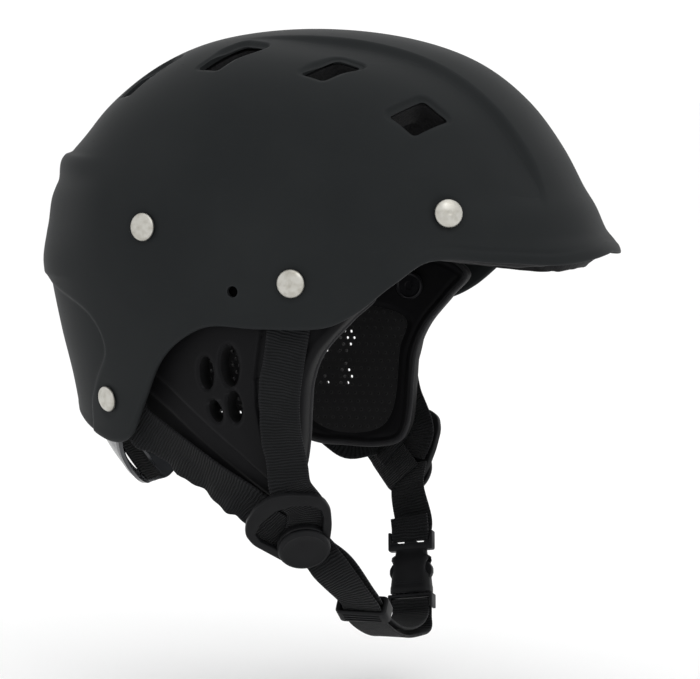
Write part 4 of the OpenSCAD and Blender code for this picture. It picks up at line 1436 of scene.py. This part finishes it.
# ---------- occipital brace ----------
# Angle from the rear, height of the upper edge, height of the lower edge
BRACE = [(0, -166, -198), (14, -165, -197), (26, -160, -190), (38, -150, -175), (47, -142, -162),
         (54, -139.5, -157), (59, -143, -153)]
BRACE_END = 59
BRACE_INSET = 7.3
BRACE_T = 2.0


def brace_point(u, v, inset):
    a = BRACE_END * (2 * u - 1)
    top, bottom = along(BRACE, 1, np.abs(a)), along(BRACE, 2, np.abs(a))
    z = top + (bottom - top) * v
    lean = 0.0095 * np.maximum(-150 - z, 0) ** 2
    return plan_point(180 + a, SHELL_TOP - z, inset + lean)


def occipital_brace():
    columns = 160
    u = np.linspace(0, 1, columns)
    v_steps = np.linspace(0, 1, 26)
    rings = []
    loop = [(v, 0.0) for v in v_steps] + [(1.0, 0.5)] + [(v, 1.0) for v in v_steps[::-1]] + [(0.0, 0.5)]
    for k in u:
        ring = []
        for v, side in loop:
            rib = 0.7 * bump(0.09, 0.035, v) + 0.7 * bump(0.91, 0.035, v)
            inset = BRACE_INSET + BRACE_T * side - (rib * 0.6 if side == 0 else 0)
            ring.append(brace_point(k, v, inset))
        rings.append(np.array(ring))
    brace = ring_solid("brace_moulded", rings, 50)
    arc = [(9 + 4.5 * math.cos(a), 4.5 * math.sin(a)) for a in np.linspace(-math.pi / 2, math.pi / 2, 12)]
    arc += [(-x, -y) for x, y in arc]
    slot_rings = [np.array([(x, y, z - 187) for y, z in arc]) for x in (-150, -60)]
    cutters = [ring_solid("cutter", slot_rings)]
    for side in (RIGHT, LEFT):
        cutters.append(round_cutter(3.7, 24, mirror(side) @ on_shell(*REAR_RIVET, 8)))
    cut(brace, cutters, sharp=45)
    adopt(brace, "brace", "brace", "occipital_brace")
    brace_tab()


def brace_tab():
    """Short webbing tab lying against the brace behind its slot."""
    rows = []
    for z in (-177, -182, -187, -192, -196.5):
        x = float(plan_point(180.0, SHELL_TOP - z, BRACE_INSET + 0.0095 * max(-150 - z, 0) ** 2)[0])
        rows.append((np.array([x + BRACE_T + 0.75, 0, z]), np.array([-1.0, 0, 0.12])))
    tab = webbing("brace_tab_webbing", rows, 6, 0.0, RIGHT, 0.62)
    adopt(tab, "brace", "webbing")


# ---------- studio ----------
# In metres and degrees
VIEW_AZIMUTH, VIEW_ELEVATION = 18.5, 5
VIEW_DISTANCE = 1.8
VIEW_TARGET = Vector((0.0179, 0, -0.1228))
VIEW_WIDTH = 0.35
SENSOR = 36
FLOOR_HALF = 14.0
FLOOR_DROP = 0.027
WORLD_LIGHT = 1.06
# Name, place, aim, size and power
LIGHTS = [("key", (1.1, -1.0, 1.5), (0, 0, -0.06), (1.2, 1.2), 6),
          ("top", (0.3, 0.2, 1.9), (0, 0, -0.05), (1.6, 1.6), 2.5)]


def aimed(name, data, place, ahead):
    obj = bpy.data.objects.new(name, data)
    bpy.context.scene.collection.objects.link(obj)
    obj.location = place
    obj.rotation_mode = "QUATERNION"
    obj.rotation_quaternion = ahead.to_track_quat("-Z", "Y")
    return obj


def camera():
    azimuth, elevation = math.radians(VIEW_AZIMUTH), math.radians(VIEW_ELEVATION)
    level = math.cos(elevation)
    back = Vector((math.sin(azimuth) * level, -math.cos(azimuth) * level, math.sin(elevation)))
    data = bpy.data.cameras.new("camera")
    data.sensor_width = SENSOR
    data.lens = SENSOR * VIEW_DISTANCE / VIEW_WIDTH
    bpy.context.scene.camera = aimed("camera", data, VIEW_TARGET + back * VIEW_DISTANCE, -back)


def area_light(name, place, aim, size, power):
    data = bpy.data.lights.new(name, "AREA")
    data.shape = "RECTANGLE"
    data.size, data.size_y = size
    data.energy = power
    aimed(name, data, place, Vector(aim) - Vector(place))


def studio():
    """Floor and lights. The floor is low enough for the chin buckle to be pulled out downwards."""
    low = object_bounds()[0]
    mesh = bpy.data.meshes.new("studio_floor")
    half, z = FLOOR_HALF, low.z - FLOOR_DROP
    corners = [(-half, -half, z), (half, -half, z), (half, half, z), (-half, half, z)]
    mesh.from_pydata(corners, [], [(0, 1, 2, 3)])
    floor = bpy.data.objects.new("studio_floor", mesh)
    bpy.context.scene.collection.objects.link(floor)
    s = Shader("floor_white")
    tone = s.mix(s.noise(400, 2), (0.95, 0.95, 0.95), (0.97, 0.97, 0.97))
    mesh.materials.append(s.finish(Base_Color=tone, Roughness=0.8))
    world = bpy.data.worlds.new("studio_world")
    bpy.context.scene.world = world
    world.use_nodes = True
    background = world.node_tree.nodes["Background"]
    background.inputs[0].default_value = (1, 1, 1, 1)
    background.inputs[1].default_value = WORLD_LIGHT
    for light in LIGHTS:
        area_light(*light)
    bpy.context.scene.view_settings.view_transform = "Standard"


camera()
hard_shell()
foam_liner()
fit_pads()
for ear in (RIGHT, LEFT):
    ear_pad(ear)
    piping(ear)
    ear_straps(ear)
    yoke(ear)
snaps()
rivets()
buckle_socket()
buckle_plug()
chin_straps()
strap_slider()
occipital_brace()
studio()
